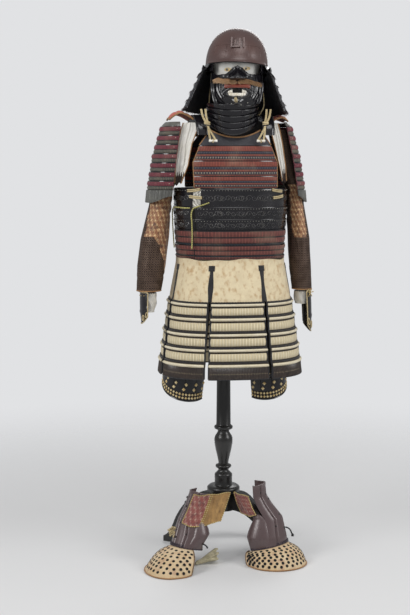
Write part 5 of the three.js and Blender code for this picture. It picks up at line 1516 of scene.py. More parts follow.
def make_thigh_guards():
    """Cloth thigh guards with black plates over their lower part, dotted with cream and gold."""
    for side in ("right", "left"):
        first, last = THIGHS[side][4:6]
        u, v = cells(first, last, 61, 0, 1, 33)
        sway = 1.2 * np.sin(np.radians(u * 5)) * ease(v, 0.1, 0.6) * (1 - ease(v, 0.62, 0.7))
        parts = [walled(thigh(side, u, v, sway), thigh(side, u, v, -2 + sway))]
        width = (last - first) / 5.0
        for k in range(5):
            a, b = first + k * width + 0.6, first + (k + 1) * width - 0.6
            for low, high in ((0.70, 0.815), (0.825, 0.93)):
                t, s = cells(a, b, 13, low, high, 9)
                hump = 1.8 + 1.1 * np.sin(np.pi * np.linspace(0, 1, 13))[:, None]
                parts.append(walled(thigh(side, t, s, hump), thigh(side, t, s, 0.3 + 0 * s), slot=1))
        mid = np.linspace(first, last, 60)
        parts.append(tube(thigh(side, mid, 0.995, -0.6), 2.2, 8, slot=1))
        count = int((last - first) * np.radians(1) * 78 / 11)
        spots = np.linspace(first + 3, last - 3, count)
        for share, size in ((0.945, 4.6), (0.972, 4.6)):
            here = thigh(side, spots, share, 1.2)
            parts.append(copies(dome(size, 1.6, 4), here, up=here - thigh(side, spots, share, -1.0),
                                slot=2))
        for share, gaps, shift in ((0.73, 5, 3), (0.79, 7, 0), (0.865, 6, 5), (0.905, 6, 0)):
            big = np.linspace(first + 8, last - 8, gaps) + shift
            here = thigh(side, big, share, 2.8)
            parts.append(copies(dome(6.2, 1.8, 4), here, up=here - thigh(side, big, share, 0), slot=2))
        piece("thigh_plates_" + side, parts, ["black_cloth", "black_lacquer", "gold_leaf"],
              ["thigh_guard_" + side])

# ---------------------------------------------------------------- shoulder guards and wings

GUARDS = table("z x rx ry", (1492, 170, 36, 68), (1478, 172, 47, 78), (1380, 188, 60, 83),
               (1225, 208, 66, 90))
GUARD_TOPS = [1478, 1448, 1418, 1388, 1358, 1328, 1298]
SPREAD = {"right": (-98.0, 98.0), "left": (-98.0, 66.0)}
WINGS = {"right": (133, 177, 209, 1528, 1508), "left": (134, 163, 190, 1515, 1504)}


def shoulder(sign):
    """A shoulder guard's surface: half an oval hung out from the shoulder; angle 0 is outermost and
    positive angles run to the front."""

    def at(angle, z, out=0.0):
        x, rx, ry = (look(GUARDS, column, z) for column in ("x", "rx", "ry"))
        return oval(sign * x - 12, 0, rx, ry, sign * (90 - angle), z, out)

    return at


def make_shoulder_guards(cords):
    """Seven laced lames in crimson and grey-green, a plain top plate and a ribbed grey hem lame."""
    for side, sign in SIDES:
        at, (back, front) = shoulder(sign), SPREAD[side]
        wall = laced(at, (back, front), GUARD_TOPS, 1268, GUARD_BANDS, cords, lip=4.2)
        parts = [wall, *lame_edges(at, (back, front), GUARD_TOPS, 3.4, cords // 2, 1.1, 1.2, 3.2, slot=1)]
        u = np.linspace(back, front, 91)[:, None]
        z = np.array([1493.0, 1492, 1486, 1479])[None]
        top = np.array([0.4, 1.8, 2.6, 1.6])[None]
        parts.append(walled(at(u, z, top), at(u, z, -2.0), slot=2))
        x = np.linspace(0, cords * 0.75, cords * 2 + 1)
        a = lerp(back, front, x / x[-1])[:, None]
        f = np.array([0, 0.04, 0.3, 0.7, 0.96, 1.0])[None]
        z = lerp(1269.0, 1226 + 22 * ease(a, 20, front) ** 1.5, f)
        rib = 1.3 * np.abs(np.sin(np.pi * x))[:, None]
        out = np.array([1.0, 3.4, 2.8, 1.6, 0.8, 0.0])[None] + rib * np.array([0, 1, 1, 1, 1, 0.4])
        parts.append(walled(at(a, z, out), at(a, z[:, ::5], -1.8), x, slot=2))
        for e in (back, front):
            zz = np.linspace(1478, 1270, 70)
            step = 4.2 * (1 - ((1478 - zz) / 30) % 1)
            parts.append(strand(at(e, zz, step - 0.6), 1.7, 6, slot=3))
        for angle in (back + 12, front - 12):
            zz = np.array([1470, 1440, 1410, 1380, 1350, 1320, 1290.0])
            parts.append(scatter(at, angle + 0 * zz, zz, 4.2, dome(2.0, 1.5, 6), slot=4))
        piece("laced_shoulder_" + side, parts,
              ["shoulder_lacing", "black_lacquer", "grey_lacquer", "crimson_cord", "white_cord"],
              ["shoulder_guard_" + side])


def wing(side, sign, x, v, out=0.0):
    """A shoulder wing's top: an arch over the shoulder, z = top - (top - foot) away^1.6 - 5 v^2, that narrows
    towards its outer edge; x is the distance from the axis and v runs from its front (-1) to its back."""
    inner, crown, outer, top, foot = WINGS[side]
    away = np.where(x < crown, (crown - x) / (crown - inner), (x - crown) / (outer - crown))
    reach = 72 - 34 * np.where(x > crown, away, 0) ** 2
    return point(sign * x, v * reach, top - (top - foot) * np.abs(away) ** 1.6 - 5 * v * v + out)


def make_wings():
    """Small padded red wings over the shoulders, quilted along their length and bound with cord."""
    for side, sign in SIDES:
        inner, _, outer = WINGS[side][:3]
        x, v = cells(inner, outer, 31, -1, 1, 41)
        share = (x - inner) / (outer - inner)
        puff = 4.6 * np.abs(np.sin(np.pi * 3 * share)) ** 0.6 * (1 - v**8) - 0.4
        top = wing(side, sign, x, v, puff)
        under = wing(side, sign, x, v, -4.0 - 0.3 * puff)
        rim = np.concatenate([top[:, 0], top[-1, 1:], top[-2::-1, -1], top[0, -2:0:-1]])
        piping = strand(path(rim[::3], 160) - [0, 0, 1.6], 3.1, 10, turns=0.5, depth=0.28, slot=1)
        made = piece("padded_wing_" + side, [walled(top, under), piping], ["red_cloth", "tan_cord"],
                     ["shoulder_wing_" + side])


# ---------------------------------------------------------------- sleeves and hand guards

SLEEVES = {
    "right": table("z x y rx ry", (1468, -172, 0, 36, 54), (1330, -206, 0, 40, 54),
                   (1272, -230, -2, 36, 52), (1218, -237, -6, 37, 50), (1105, -258, -20, 46, 52),
                   (1018, -270, -32, 47, 50), (932, -281, -44, 40, 42)),
    "left": table("z x y rx ry", (1468, 166, 0, 34, 54), (1330, 196, 0, 35, 54), (1272, 221, -2, 27, 52),
                  (1218, 223, -6, 29, 50), (1105, 234, -20, 36, 52), (1018, 237, -32, 36, 50),
                  (932, 242, -44, 32, 42)),
}
SLEEVE_FOLDS = {  # soft troughs: angle and height of the middle, lean, half length and width in mm, depth
    "right": table("angle z lean length width depth", (48, 1236, 62, 34, 7, 4.0),
                   (22, 1206, 70, 26, 5, 3.0), (84, 1188, 50, 42, 8, 4.5), (-24, 1228, 80, 20, 5, 2.0),
                   (61, 1120, 8, 46, 7, 3.2), (30, 1085, -14, 38, 6, 2.2), (118, 1060, 12, 50, 8, 3.6),
                   (-70, 1050, 5, 60, 9, 1.8), (78, 985, 74, 24, 5, 2.6), (20, 962, 82, 26, 4, 1.8),
                   (165, 1215, 66, 36, 7, 3.4), (-150, 1100, 10, 55, 8, 2.8), (-120, 980, 76, 28, 5, 2.0)),
    "left": table("angle z lean length width depth", (-46, 1240, -60, 30, 6, 3.2),
                  (-18, 1204, -72, 22, 5, 2.4), (-92, 1186, -52, 38, 7, 3.6), (30, 1220, -80, 18, 5, 1.8),
                  (-66, 1112, -6, 44, 7, 2.8), (-32, 1080, 12, 40, 5, 2.0), (-124, 1066, -10, 48, 7, 3.0),
                  (72, 1040, -4, 58, 9, 1.6), (-80, 980, -72, 22, 5, 2.2), (-14, 960, -80, 24, 4, 1.6),
                  (-168, 1210, -64, 34, 7, 3.0), (146, 1095, -8, 52, 8, 2.6), (118, 985, -78, 26, 5, 1.8)),
}


def troughs(rows, angle, z, radius):
    """Creases placed one by one: each is depth * exp(-(across / width)^2) * exp(-(along / length)^2), with
    across and along measured from its middle on a surface of that radius, turned by its lean."""
    total = 0.0
    for a, height, lean, length, width, depth in zip(*(rows[c] for c in rows)):
        dx = np.radians((angle - a + 180) % 360 - 180) * radius
        dz = z - height
        c, s = np.cos(np.radians(lean)), np.sin(np.radians(lean))
        across, along = dx * c + dz * s, -dx * s + dz * c
        total = total + depth * (bump(across, 0, width) - 0.4 * bump(across, width * 1.9, width)) \
            * bump(along, 0, length)
    return total


def sleeve(side, angle, z, out=0.0):
    """A sleeve: an oval tube with its own creases."""
    angle, z = np.broadcast_arrays(np.asarray(angle, float), z)
    return section(SLEEVES[side], angle, z, out - troughs(SLEEVE_FOLDS[side], angle, z, 46))


def brocade_shows(side, angle, z):
    """True where the sleeve is bare brocade with no mail over it: a tapering field on the inner front."""
    angle = (angle + 180) % 360 - 180
    if side == "right":
        start = np.interp(z, [960, 1000, 1060, 1112, 1116, 1268], [130, 66, 30, -8, -52, -70])
        wave = 4 * np.sin(z / 9) + 2 * np.sin(z / 4.3)
        return (angle > start + wave) & (angle < 140) & (z < 1285)
    window = (angle > -34 + 3 * np.sin(z / 8)) & (angle < 26 + 3 * np.sin(z / 6 + 1)) & (z > 1108)
    return (window | ((angle < -88) & (angle > -158) & (z > 1010))) & (z < 1285)


def make_sleeves():
    """Brocade sleeves covered with mail outside and below the elbow, bound in tan at the wrist."""
    for side, _ in SIDES:
        u, z = np.linspace(0, 360, 73)[:-1, None], np.linspace(1468, 932, 113)[None]
        mailed = 1 - brocade_shows(side, u + 0 * z, z + 0 * u)
        soft = (mailed + np.roll(mailed, 1, 0) + np.roll(mailed, -1, 0)) / 3
        outer = sleeve(side, u, z, 1.3 * soft)
        wall = walled(outer, sleeve(side, u, z[:, ::4], -2.4), np.linspace(0, 300, 73),
                      np.linspace(0, 540, 113), ring=True)
        middle = wall["v"][wall["quads"]].mean(1)
        x, y = look(SLEEVES[side], "x", middle[:, 2]), look(SLEEVES[side], "y", middle[:, 2])
        angle = np.degrees(np.arctan2(middle[:, 0] - x, y - middle[:, 1]))
        bare = brocade_shows(side, angle, middle[:, 2])
        inside = np.arange(len(bare)) >= 72 * 112
        wall["slot"] = np.where(inside, 2, np.where(bare, 1, 0))
        cuff = tube(sleeve(side, u[:, 0], 934, 0.4), 2.2, 8, ring=True, slot=3)
        made = piece("mail_sleeve_" + side, [wall, cuff], ["mail", "orange_brocade", "lining", "tan_cord"],
                     ["sleeve_" + side])


HANDS = {"right": (-282, -45, -285, -56, 931, 824), "left": (243, -45, 248, -56, 931, 788)}


def hand(side, sign, u, share, out=0.0):
    """A hand guard: a half tube from the wrist (0) to the finger tips (1), its lower edge curving up."""
    x0, y0, x1, y1, top, bottom = HANDS[side]
    z = lerp(top, bottom + 26 * (u / 78) ** 2, share)
    bend = 2.5 * np.sin(np.pi * share)
    return oval(lerp(x0, x1, share), lerp(y0, y1, share), 30 - 6 * share, 42 - 4 * share, sign * (90 - u),
                z, out + bend - 1.2)


def make_hand_guards():
    """Black lacquered hand plates in a cream cord frame, with tan finger loops and a wrist tie."""
    for side, sign in SIDES:
        u, s = cells(-78, 78, 61, 0, 1, 41)
        knuckle = 1.8 * bump(s, 0.62, 0.05) + 1.0 * bump(np.abs(u), 26, 7) * ease(s, 0.66, 0.8)
        parts = [walled(hand(side, sign, u, s, knuckle), hand(side, sign, u, s[:, ::4], -1.6))]
        line = np.linspace(0.02, 1, 30)
        frame_cord = np.concatenate([
            hand(side, sign, 78.0, line[::-1], 1.0), hand(side, sign, np.linspace(70, -70, 30), 0.01, 1.2),
            hand(side, sign, -78.0, line, 1.0),
        ])
        parts.append(strand(path(frame_cord[::2], 120), 2.1, 8, turns=0.5, depth=0.28, slot=1))
        hem = hand(side, sign, np.linspace(-78, 78, 40), 0.995, 0.3)
        parts.append(strand(hem, 1.9, 8, turns=0.5, depth=0.28, slot=1))
        for start, width in ((70, 16), (44, 13)):
            t = np.linspace(0, 2 * np.pi, 33)[:-1]
            base = hand(side, sign, start + width * 0.5 * np.cos(t), 0.86 + 0.085 * np.sin(t), 3.0)
            parts.append(tube(base + [0, -1.5, 0], 1.7, 8, ring=True, slot=1))
        pins = np.array([-52, -26, 0, 26, 52.0])
        parts.append(scatter(lambda a, b, o: hand(side, sign, a, 1 - b, o), pins, 0.88 + 0 * pins, 1.2,
                             dome(1.6, 1.2, 7), slot=3))
        piece("hand_plate_" + side, parts, ["black_lacquer", "cream_cord", "tan_cord", "gold_leaf"],
              ["hand_guard_" + side])
        x, y = HANDS[side][:2]
        a, z = np.linspace(0, 360, 49)[:-1, None], np.linspace(926, 862 if sign < 0 else 884, 19)[None]
        ruck = 1.6 * np.sin(np.radians(5 * a) + z / 7) * np.sin(np.pi * (926 - z) / 64)
        inset = 8 * ease(-z, -900, -862)
        cuff = oval(x - sign * 3, y + 1, 24, 33, a, z, ruck - inset)
        lining = oval(x - sign * 3, y + 1, 24, 33, a, z[:, ::3], -2.0 - inset[:, ::3])
        wrist = piece("wrist_cloth_" + side, [walled(cuff, lining, ring=True)], ["white_cloth"])
        if sign > 0:
            at = hand(side, sign, 58.0, 0.06, 5.0)
            bows = []
            for turn in (20, 160, 65, 115, 250, 300):
                t = np.linspace(0, 1, 14)
                d = np.array([np.cos(np.radians(turn)), 0.1, np.sin(np.radians(turn))])
                sweep = d * (13 * np.sin(np.pi * t * 0.6))[:, None]
                droop = point(0 * t, -2.5 * np.sin(np.pi * t), -2 * t)
                bows.append(strand(at + sweep + droop, 1.6, 6, turns=0.5))
            piece("wrist_tie_left", [joined(*bows)], ["gold_cord"])


ARMPIT = {
    "right": table("z inX inY outX outY", (1490, -122, -84, -166, -62), (1465, -124, -95, -175, -66),
                   (1420, -142, -98, -184, -68), (1350, -154, -92, -193, -68),
                   (1288, -176, -76, -196, -66)),
    "left": table("z inX inY outX outY", (1490, 120, -84, 150, -68), (1465, 121, -96, 156, -72),
                  (1420, 133, -100, 165, -74), (1350, 151, -92, 176, -72), (1296, 164, -82, 180, -72)),
}


def armpit(side, u, z, out=0.0):
    """A cloth strip between its inner (u 0) and outer (u 1) edge lines, with a main fold and creases."""
    rows = ARMPIT[side]
    in_x, in_y, out_x, out_y = (look(rows, c, z) for c in ("inX", "inY", "outX", "outY"))
    fold = 5 * np.sin(np.radians(200 * u)) + 5.0 * bump(u, 0.26 + 0.06 * np.sin(z / 40), 0.075) \
        - 7.0 * bump(u, 0.44 + 0.07 * np.sin(z / 55), 0.06) \
        + 3.6 * bump(u, 0.66 - 0.05 * np.sin(z / 47), 0.07) \
        - 3.0 * bump(u, 0.83, 0.05) * bump(z, 1400, 60) + 1.6 * np.sin(z / 12 + 6 * u) * bump(z, 1335, 30)
    return point(lerp(in_x, out_x, u), lerp(in_y, out_y, u) + 0.75 * fold + out, z)


def make_armpit_cloths():
    """White cloth strips at the armpits, folded once along their length and piped on both edges."""
    for side, sign in SIDES:
        low = float(ARMPIT[side]["z"][0])
        u, z = cells(0, 1, 33, 1490, low, 91)
        hem = 5 * np.sin(7 * u) * ease(-z, -low - 60, -low)
        outer = armpit(side, u, z, -0.6) + point(0, 0, hem)
        wall = walled(outer, armpit(side, u, z[:, ::3], 1.4) + point(0, 0, hem[:, ::3]))
        middle = wall["v"][wall["quads"]].mean(1)
        worn = (middle[:, 2] < low + 34 + 8 * np.sin(middle[:, 0])) & (sign * middle[:, 0] > 164)
        wall["slot"] = np.where(np.concatenate([worn, np.zeros(len(wall["caps"]), bool)]), 2, 0)
        zz = np.linspace(1489, low + 3, 90)
        rims = [strand(armpit(side, e, zz, -0.8), 2.0, 8, slot=1) for e in (0, 1)]
        made = piece("white_strip_" + side, [wall, *rims], ["white_cloth", "tan_cord", "lining"],
                     ["armpit_cloth_" + side])

# ---------------------------------------------------------------- shin guards, knee cloths and foot guards

SHINS = {
    "right": table("z x y rx ry", (245, -95, -40, 45, 46), (190, -118, -54, 47, 48),
                   (150, -138, -68, 50, 50), (110, -142, -82, 61, 54), (75, -160, -98, 54, 50),
                   (40, -158, -108, 46, 46)),
    "left": table("z x y rx ry", (265, 76, -40, 42, 44), (222, 78, -44, 44, 46), (190, 92, -54, 50, 50),
                  (150, 116, -66, 58, 54), (90, 112, -86, 74, 58), (30, 122, -102, 66, 50)),
}
# Outward side, top, angle it faces, ankle heights, the two plates' spans, the cloth's span and heights.
LEGS = {
    "right": dict(sign=-1, top=245, faces=-55, high=74, low=48, shell=(-160, 10), cap=(-4, 62),
                  cloth=(-44, 104, 237, 140, -44, 16), foot=(-222, -150, 88, 100, -150, 14), ahead=30),
    "left": dict(sign=1, top=265, faces=55, high=68, low=36, shell=(-10, 160), cap=(-62, 4),
                 cloth=(-112, -30, 226, 158, -64, -30), foot=(143, -128, 104, 92, -84, 118), ahead=0),
}


def shin(side, u, z, out=0.0):
    """A leg's surface: leaning oval sections."""
    return section(SHINS[side], u, z, out)


def ankle(side, u):
    """The shin guard's lower edge: highest over the instep, a cosine of the angle from there."""
    leg = LEGS[side]
    return lerp(leg["low"], leg["high"], (1 + np.cos(np.radians(u - leg["faces"]))) / 2)


def make_shin_guards():
    """Mauve lacquered iron shin guards: three long splints, a rounded inner plate, rivets, straps and the
    dark lacing over the ankle."""
    for side, sign in SIDES:
        leg = LEGS[side]
        first, last = leg["shell"]
        u, s = cells(first, last, 105, 0, 1, 41)
        top = leg["top"] - 4 * (1 - np.cos(np.radians(2 * (u - leg["faces"]))))
        z = lerp(top, ankle(side, u), s)
        ribs = 0.0
        for seam in np.array([-104, -62, -22]) * -sign:
            ribs = ribs + 2.4 * ease(-(u - seam) * sign, -1.6, 1.6) - 2.6 * bump(u, seam, 2.2) \
                + 1.6 * bump(u, seam + 8 * sign, 6)
        ribs = ribs - 0.9 + 0.5 * np.sin(np.radians(5 * u) + 3 * s) * np.sin(np.pi * s)
        flare = 1.6 * ease(-s, -0.05, 0.0)
        parts = [walled(shin(side, u, z, ribs - 1.6 + flare), shin(side, u, z[:, ::4], -2.0))]
        rim = shin(side, u[:, 0], top[:, 0], 0.6)
        parts.append(tube(rim, 1.5, 8))
        parts.append(tube(shin(side, first if sign < 0 else last, np.linspace(leg["top"] - 8, 60, 40), 0.0),
                          1.5, 8))
        inner_edge = last if sign < 0 else first
        zz = np.linspace(leg["top"] - 3, ankle(side, inner_edge) + 2, 50)
        parts.append(tube(shin(side, inner_edge, zz, 0.4), 1.7, 8))
        a, b = leg["cap"]
        middle, half = (a + b) / 2, (b - a) / 2
        cu, cs = cells(a, b, 41, 0, 1, 31)
        crown = 166 - 62 * np.abs((cu - middle) / half) ** 3.2
        cz = lerp(crown, ankle(side, cu) + 1, cs)
        swell = 2.2 + (13.0 if sign < 0 else 9.0) * np.sin(np.pi * cs) ** 0.7 \
            * np.cos(np.pi / 2 * (cu - middle) / half) ** 0.7
        outer = shin(side, cu, cz, swell)
        parts.append(walled(outer, shin(side, cu, cz[:, ::5], 0.6 + 0.8 * (swell[:, ::5] - 2.2))))
        ring_line = np.concatenate([outer[0, ::-1], outer[1:-1, 0], outer[-1]])
        parts.append(tube(path(ring_line[::3], 110), 1.3, 8))
        pins = []
        for angle, height in ((-100, 222), (-108, 205), (-58, 216), (-66, 200), (-26, 226), (-18, 196),
                              (-58, 150), (-26, 118), (-66, 105), (-104, 128), (-20, 150), (-112, 96)):
            pins.append((angle * -sign, height + (10 if sign > 0 else -4)))
        pins = np.array(pins, float)
        parts.append(scatter(lambda p, q, o: shin(side, p, q, o), pins[:, 0], pins[:, 1], 1.4,
                             dome(4.2, 2.0, 9), slot=1))
        edge_u = np.linspace(min(first, a), max(last, b), 150)
        hem = shin(side, edge_u, ankle(side, edge_u) + 2.5, 2.2)
        parts.append(strand(hem, 3.2, 10, turns=0.35, depth=0.35, slot=2))
        loops = np.linspace(edge_u[0] + 2, edge_u[-1] - 2, 34)
        here = shin(side, loops, ankle(side, loops) + 7.5, 2.4)
        away = here - shin(side, loops, ankle(side, loops) + 7.5, 0)
        parts.append(copies(dome(3.2, 2.2, 7), here, up=away, slot=2))
        t = np.linspace(0, 1, 16)[:, None]
        if sign > 0:
            base = shin(side, 84.0, 112.0, 1.0)
            end = tube(base + t * [22, -10, -22] + np.sin(np.pi * t) * [3, 0, 5], 2.4, 8, slot=3)
            ball = copies(dome(4.6, 5.0, 10, 3), base + [24, -11, -25], slot=3)
            knob = copies(dome(5.5, 5.0, 10, 3), shin(side, -100.0, 168.0, 12.0), slot=3)
            parts += [end, ball, knob]
        else:
            base = shin(side, 40.0, 82.0, 4.0)
            parts.append(tube(base + t * [22, -9, -14] + np.sin(np.pi * t) * [2, -3, 4], 2.6, 8, slot=3))
        piece("iron_shin_" + side, parts, ["mauve_iron", "rivet_dark", "purple_cord", "black_cord"],
              ["shin_guard_" + side])
    base = shin("right", -78.0, 118.0, 7.0)
    strands = []
    t = np.linspace(0, 1, 18)[:, None]
    reaches = [(-14, -6, 8), (-15, -8, -6), (-6, -9, 15), (4, -9, 13), (-10, -6, -17), (2, -8, -20),
               (-19, -4, 1)]
    for k, reach in enumerate(np.array(reaches)):
        loop = base + reach * np.sin(np.pi * t * (1.0 if k < 4 else 0.55)) \
            + np.cross(reach, [0, 0.2, 0]) * np.sin(2 * np.pi * t)
        strands.append(strand(loop, 2.6, 8, depth=0.3))
    piece("shin_tie_right", [joined(*strands)], ["cream_cord"])


KNEE_FOLDS = {  # troughs in the knee cloths, as on the sleeves
    "right": table("angle z lean length width depth", (-20, 206, 24, 40, 9, 2.4), (8, 176, -30, 34, 8, 2.0),
                   (46, 190, 6, 60, 4, 3.2), (58, 172, 14, 44, 4, 3.6), (70, 200, -4, 34, 5, 2.2),
                   (86, 180, 10, 40, 5, 2.6), (-30, 158, 70, 20, 5, 1.4)),
    "left": table("angle z lean length width depth", (-60, 196, -16, 34, 7, 2.0),
                  (-84, 186, 22, 30, 6, 2.4), (-44, 178, 30, 22, 5, 1.6), (-100, 200, 4, 26, 5, 1.8)),
}


def make_knee_cloths():
    """Brocade knee cloths above the plates, edged with gold braid; the wearer's right one has an ochre side
    flap in brown folds."""
    for side, _ in SIDES:
        a, b, top, bottom, near, far = LEGS[side]["cloth"]
        u, s = cells(a, b, 61, 0, 1, 41)
        flap = ease(u, 30, 104) if side == "right" else 0 * u
        low = bottom + 8 * flap + (9 * ease(-u, 10, 44) if side == "right" else 8 * ease(u, -60, -30))
        z = lerp(top + 1.5 * np.sin(u / 11), low, s)
        turn = np.clip(u, near, far)
        run = np.radians(u - turn) * 52
        ahead = point(run * np.cos(np.radians(turn)), run * np.sin(np.radians(turn)), 0)
        out = 7.2 - troughs(KNEE_FOLDS[side], u, z, 48) + 1.5 * flap * s + 1.6 * s * (1 - flap)
        outer = shin(side, turn, z, out) + ahead
        inner = shin(side, turn, z[:, ::4], out[:, ::4] - 2.0) + ahead
        wall = walled(outer, inner, np.linspace(0, 130, 61), np.linspace(0, 90, 41))
        ochre = np.repeat((u[:-1] + u[1:] > 46) & (side == "right"), 40, axis=1).ravel()
        kind = np.zeros(len(wall["quads"]) + len(wall["caps"]), int)
        kind[: ochre.size] = ochre
        wall["slot"] = kind
        rims = [outer[0], outer[-1], outer[:, 0], outer[:, -1]]
        if side == "right":
            seam = int(np.argmin(np.abs(u[:, 0] - 22)))
            rims += [outer[seam], outer[seam + 3]]
        braid = [strand(path(r[::4], 60), 1.8, 8, turns=0.45, depth=0.3, slot=2) for r in rims]
        made = piece("knee_brocade_" + side, [wall, *braid], ["red_brocade", "ochre_cloth", "gold_cord"],
                     ["knee_cloth_" + side])


def foot(side, u, share, out=0.0):
    """A foot guard: the ankle's edge blended into the floor's oval, swelling 9.6 sin(pi share) out and up."""
    u, share = np.broadcast_arrays(np.asarray(u, float), share)
    x, y, rx, ry = LEGS[side]["foot"][:4]
    z0 = ankle(side, u) - 0.5
    ahead = LEGS[side]["ahead"] * ease(u, -60, 14)
    upper, floor = shin(side, u, z0, out), oval(x, y, rx, ry, u + ahead, 0 * u, out)
    swell = 9.6 * np.sin(np.pi * share)
    away = floor - [x, y, 0]
    away = away / np.linalg.norm(away, axis=-1, keepdims=True)
    mixed = lerp(upper, floor, share[..., None]) + away * swell[..., None]
    mixed[..., 2] = mixed[..., 2] + swell + 0.35 * out * (1 - share)
    return mixed


def make_foot_guards():
    """Cream leather foot guards, their piercings drawn as flat dark discs of painted shade, and bound along
    their edges with a dark seam.
    """
    for side, sign in SIDES:
        first, last = LEGS[side]["foot"][4:]
        u, s = cells(first, last, 97, 0, 1, 49)
        dent = 1.3 * np.sin(np.radians(3 * u) + 5 * s) * np.sin(np.pi * s) \
            - 3.0 * bump(u, last - 26 if sign < 0 else first + 22, 5 + 3 * s) * ease(s, 0.1, 0.5)
        outer = foot(side, u, s, dent)
        outer[..., 2] = np.maximum(outer[..., 2], 0.4)
        inner = foot(side, u, s[:, ::4], -2.2)
        inner[..., 2] = np.maximum(inner[..., 2] - 0.6, 0.2)
        parts = [walled(outer, inner)]
        edge = [outer[0], outer[-1]]
        parts += [strand(path(e[::3], 50) + [0, 0, 1.0], 2.3, 8, turns=0.3, depth=0.3,
                         slot=1) for e in edge]
        hem = path(outer[::3, -1], 90) + [0, 0, 2.2]
        parts.append(strand(hem, 2.2, 8, turns=0.3, depth=0.2, slot=2))
        holes = []
        for k, share in enumerate(np.linspace(0.12, 0.84, 7)):
            ring = foot(side, np.linspace(first, last, 60), share)
            length = np.linalg.norm(np.diff(ring, axis=0), axis=1).sum()
            count = int(length / 19)
            shift = 0.5 if k % 2 else 0.0
            angles = lerp(first, last, (np.arange(count) + 0.5 + shift) / (count + 0.5))
            holes += [(a, share + 0.012 * np.sin(3 * a)) for a in angles if first + 7 < a < last - 7]
        holes = np.array(holes)
        here = foot(side, holes[:, 0], holes[:, 1], 1.0)
        step = foot(side, holes[:, 0] + 0.5, holes[:, 1], 1.0) - here
        down = foot(side, holes[:, 0], holes[:, 1] + 0.01, 1.0) - here
        up = np.cross(down, step)
        up *= np.sign(up[:, 2] + 1e-9)[:, None]
        size = 5.2
        dent_at = 1.3 * np.sin(np.radians(3 * holes[:, 0]) + 5 * holes[:, 1]) * np.sin(np.pi * holes[:, 1])
        up /= np.linalg.norm(up, axis=1)[:, None]
        here = here + up * (dent_at - 0.4)[:, None]
        # painted shade: each piercing is a flat dark disc, not a cut hole
        parts.append(copies(dome(size, 0.35, 12), here, along=step, up=up, slot=3))
        made = piece("pierced_foot_" + side, parts,
                     ["foot_leather", "seam_leather", "tan_cord", "painted_opening_shade"],
                     ["foot_guard_" + side])


TIE = [(-132, -118, 9, 7), (-112, -108, 12, 10), (-88, -100, 20, 16), (-66, -96, 26, 22),
       (-56, -94, 27, 20)]


def make_floor_tie():
    """The cloth tie end lying on the floor, widening to an open, pleated mouth with a dark disc of painted
    shade inside.
    """
    rows = np.array(TIE, float)
    t = np.concatenate([[0], np.cumsum(np.linalg.norm(np.diff(rows[:, :3], axis=0), axis=1))])
    s = np.linspace(0, t[-1], 49)
    x, y, z, r = (np.interp(s, t, rows[:, k]) for k in range(4))
    a = np.linspace(0, 2 * np.pi, 73)[:-1, None]
    open_ = ease(s / t[-1], 0.3, 1.0)
    pleat = r * (1 + open_ * (0.17 * np.cos(5 * a + 1.2 * np.sin(2 * a)) + 0.05 * np.cos(11 * a)) - 0.08)
    height = np.maximum(z + pleat * np.sin(a), 1.0)
    outer = point(x + 4 * open_ * np.cos(5 * a), y + pleat * np.cos(a), height)
    inner = point(x[::4] + 4 * open_[::4] * np.cos(5 * a) + 0.2, y[::4] + (pleat[:, ::4] - 1.8) * np.cos(a),
                  np.maximum(z[::4] + (pleat[:, ::4] - 1.8) * np.sin(a), 2.4))
    bag = walled(outer, inner, ring=True)
    knot = strand(path([(-134, -119, 8), (-124, -114, 12), (-118, -106, 9), (-126, -110, 4),
                        (-134, -120, 7)], 50),
                3.4, 10, turns=0.3, depth=0.3, slot=0)
    # painted shade: a dark disc inside the open mouth stands for its shaded inside
    painted_tie_mouth_shade = copies(dome(15.0, 2.0, 16), [[-74, -98, 22]], up=[1, 0.1, 0.1], slot=1)
    made = piece("floor_tie_end", [bag, knot, painted_tie_mouth_shade], ["tie_cloth", "lining"], ["floor_tie"])

# ---------------------------------------------------------------- the add-on


class ArmourFinish(bpy.types.PropertyGroup):
    """Colours of the armour's main finishes."""

    helmet: bpy.props.FloatVectorProperty(
        name="Helmet iron", description="Russet iron of the bowl and brow plate", subtype="COLOR",
        size=3, min=0, max=1, default=linear("#54403d")[:3])
    shins: bpy.props.FloatVectorProperty(
        name="Shin iron", description="Mauve-brown lacquered iron of the shin guards", subtype="COLOR",
        size=3, min=0, max=1, default=linear("#5c4c4c")[:3])
    leather: bpy.props.FloatVectorProperty(
        name="Skirt leather", description="Cream leather of the skirt's tongues", subtype="COLOR",
        size=3, min=0, max=1, default=linear("#dccaa6")[:3])
    shoulders: bpy.props.FloatVectorProperty(
        name="Wing cloth", description="Red cloth of the padded shoulder wings", subtype="COLOR",
        size=3, min=0, max=1, default=linear("#c8512f")[:3])


class ArmourLacing(bpy.types.PropertyGroup):
    """How fine the lacing is, and the size of the loose cords."""

    chest_cords: bpy.props.IntProperty(
        name="Chest cords", description="Cords across each chest lame", default=64, min=20, max=120)
    waist_cords: bpy.props.IntProperty(
        name="Waist cords", description="Cords round each waist lame", default=190, min=60, max=360)
    shoulder_cords: bpy.props.IntProperty(
        name="Shoulder cords", description="Cords across each shoulder lame", default=80, min=20, max=140)
    tasset_cords: bpy.props.IntProperty(
        name="Tasset cords", description="Cords across the front tasset's lames", default=38, min=12,
        max=72)
    cord_radius: bpy.props.FloatProperty(
        name="Closing cord radius", description="Radius of the two free closing cords, in mm",
        default=2.2, min=1.0, max=4.0, precision=1)


class ARMOUR_OT_stage(bpy.types.Operator):
    """Make the materials, the pale floor, the soft lights and the camera"""

    bl_idname = "armour.stage"
    bl_label = "Stage, camera and finishes"

    def execute(self, context):
        make_materials(context.scene.armour_finish)
        make_stage()
        make_camera()
        return {"FINISHED"}


class ARMOUR_OT_closing_cords(bpy.types.Operator):
    """Make the two free ends of the side closing cords"""

    bl_idname = "armour.closing_cords"
    bl_label = "Closing cords"

    def execute(self, context):
        make_side_cords(context.scene.armour_lacing.cord_radius)
        return {"FINISHED"}


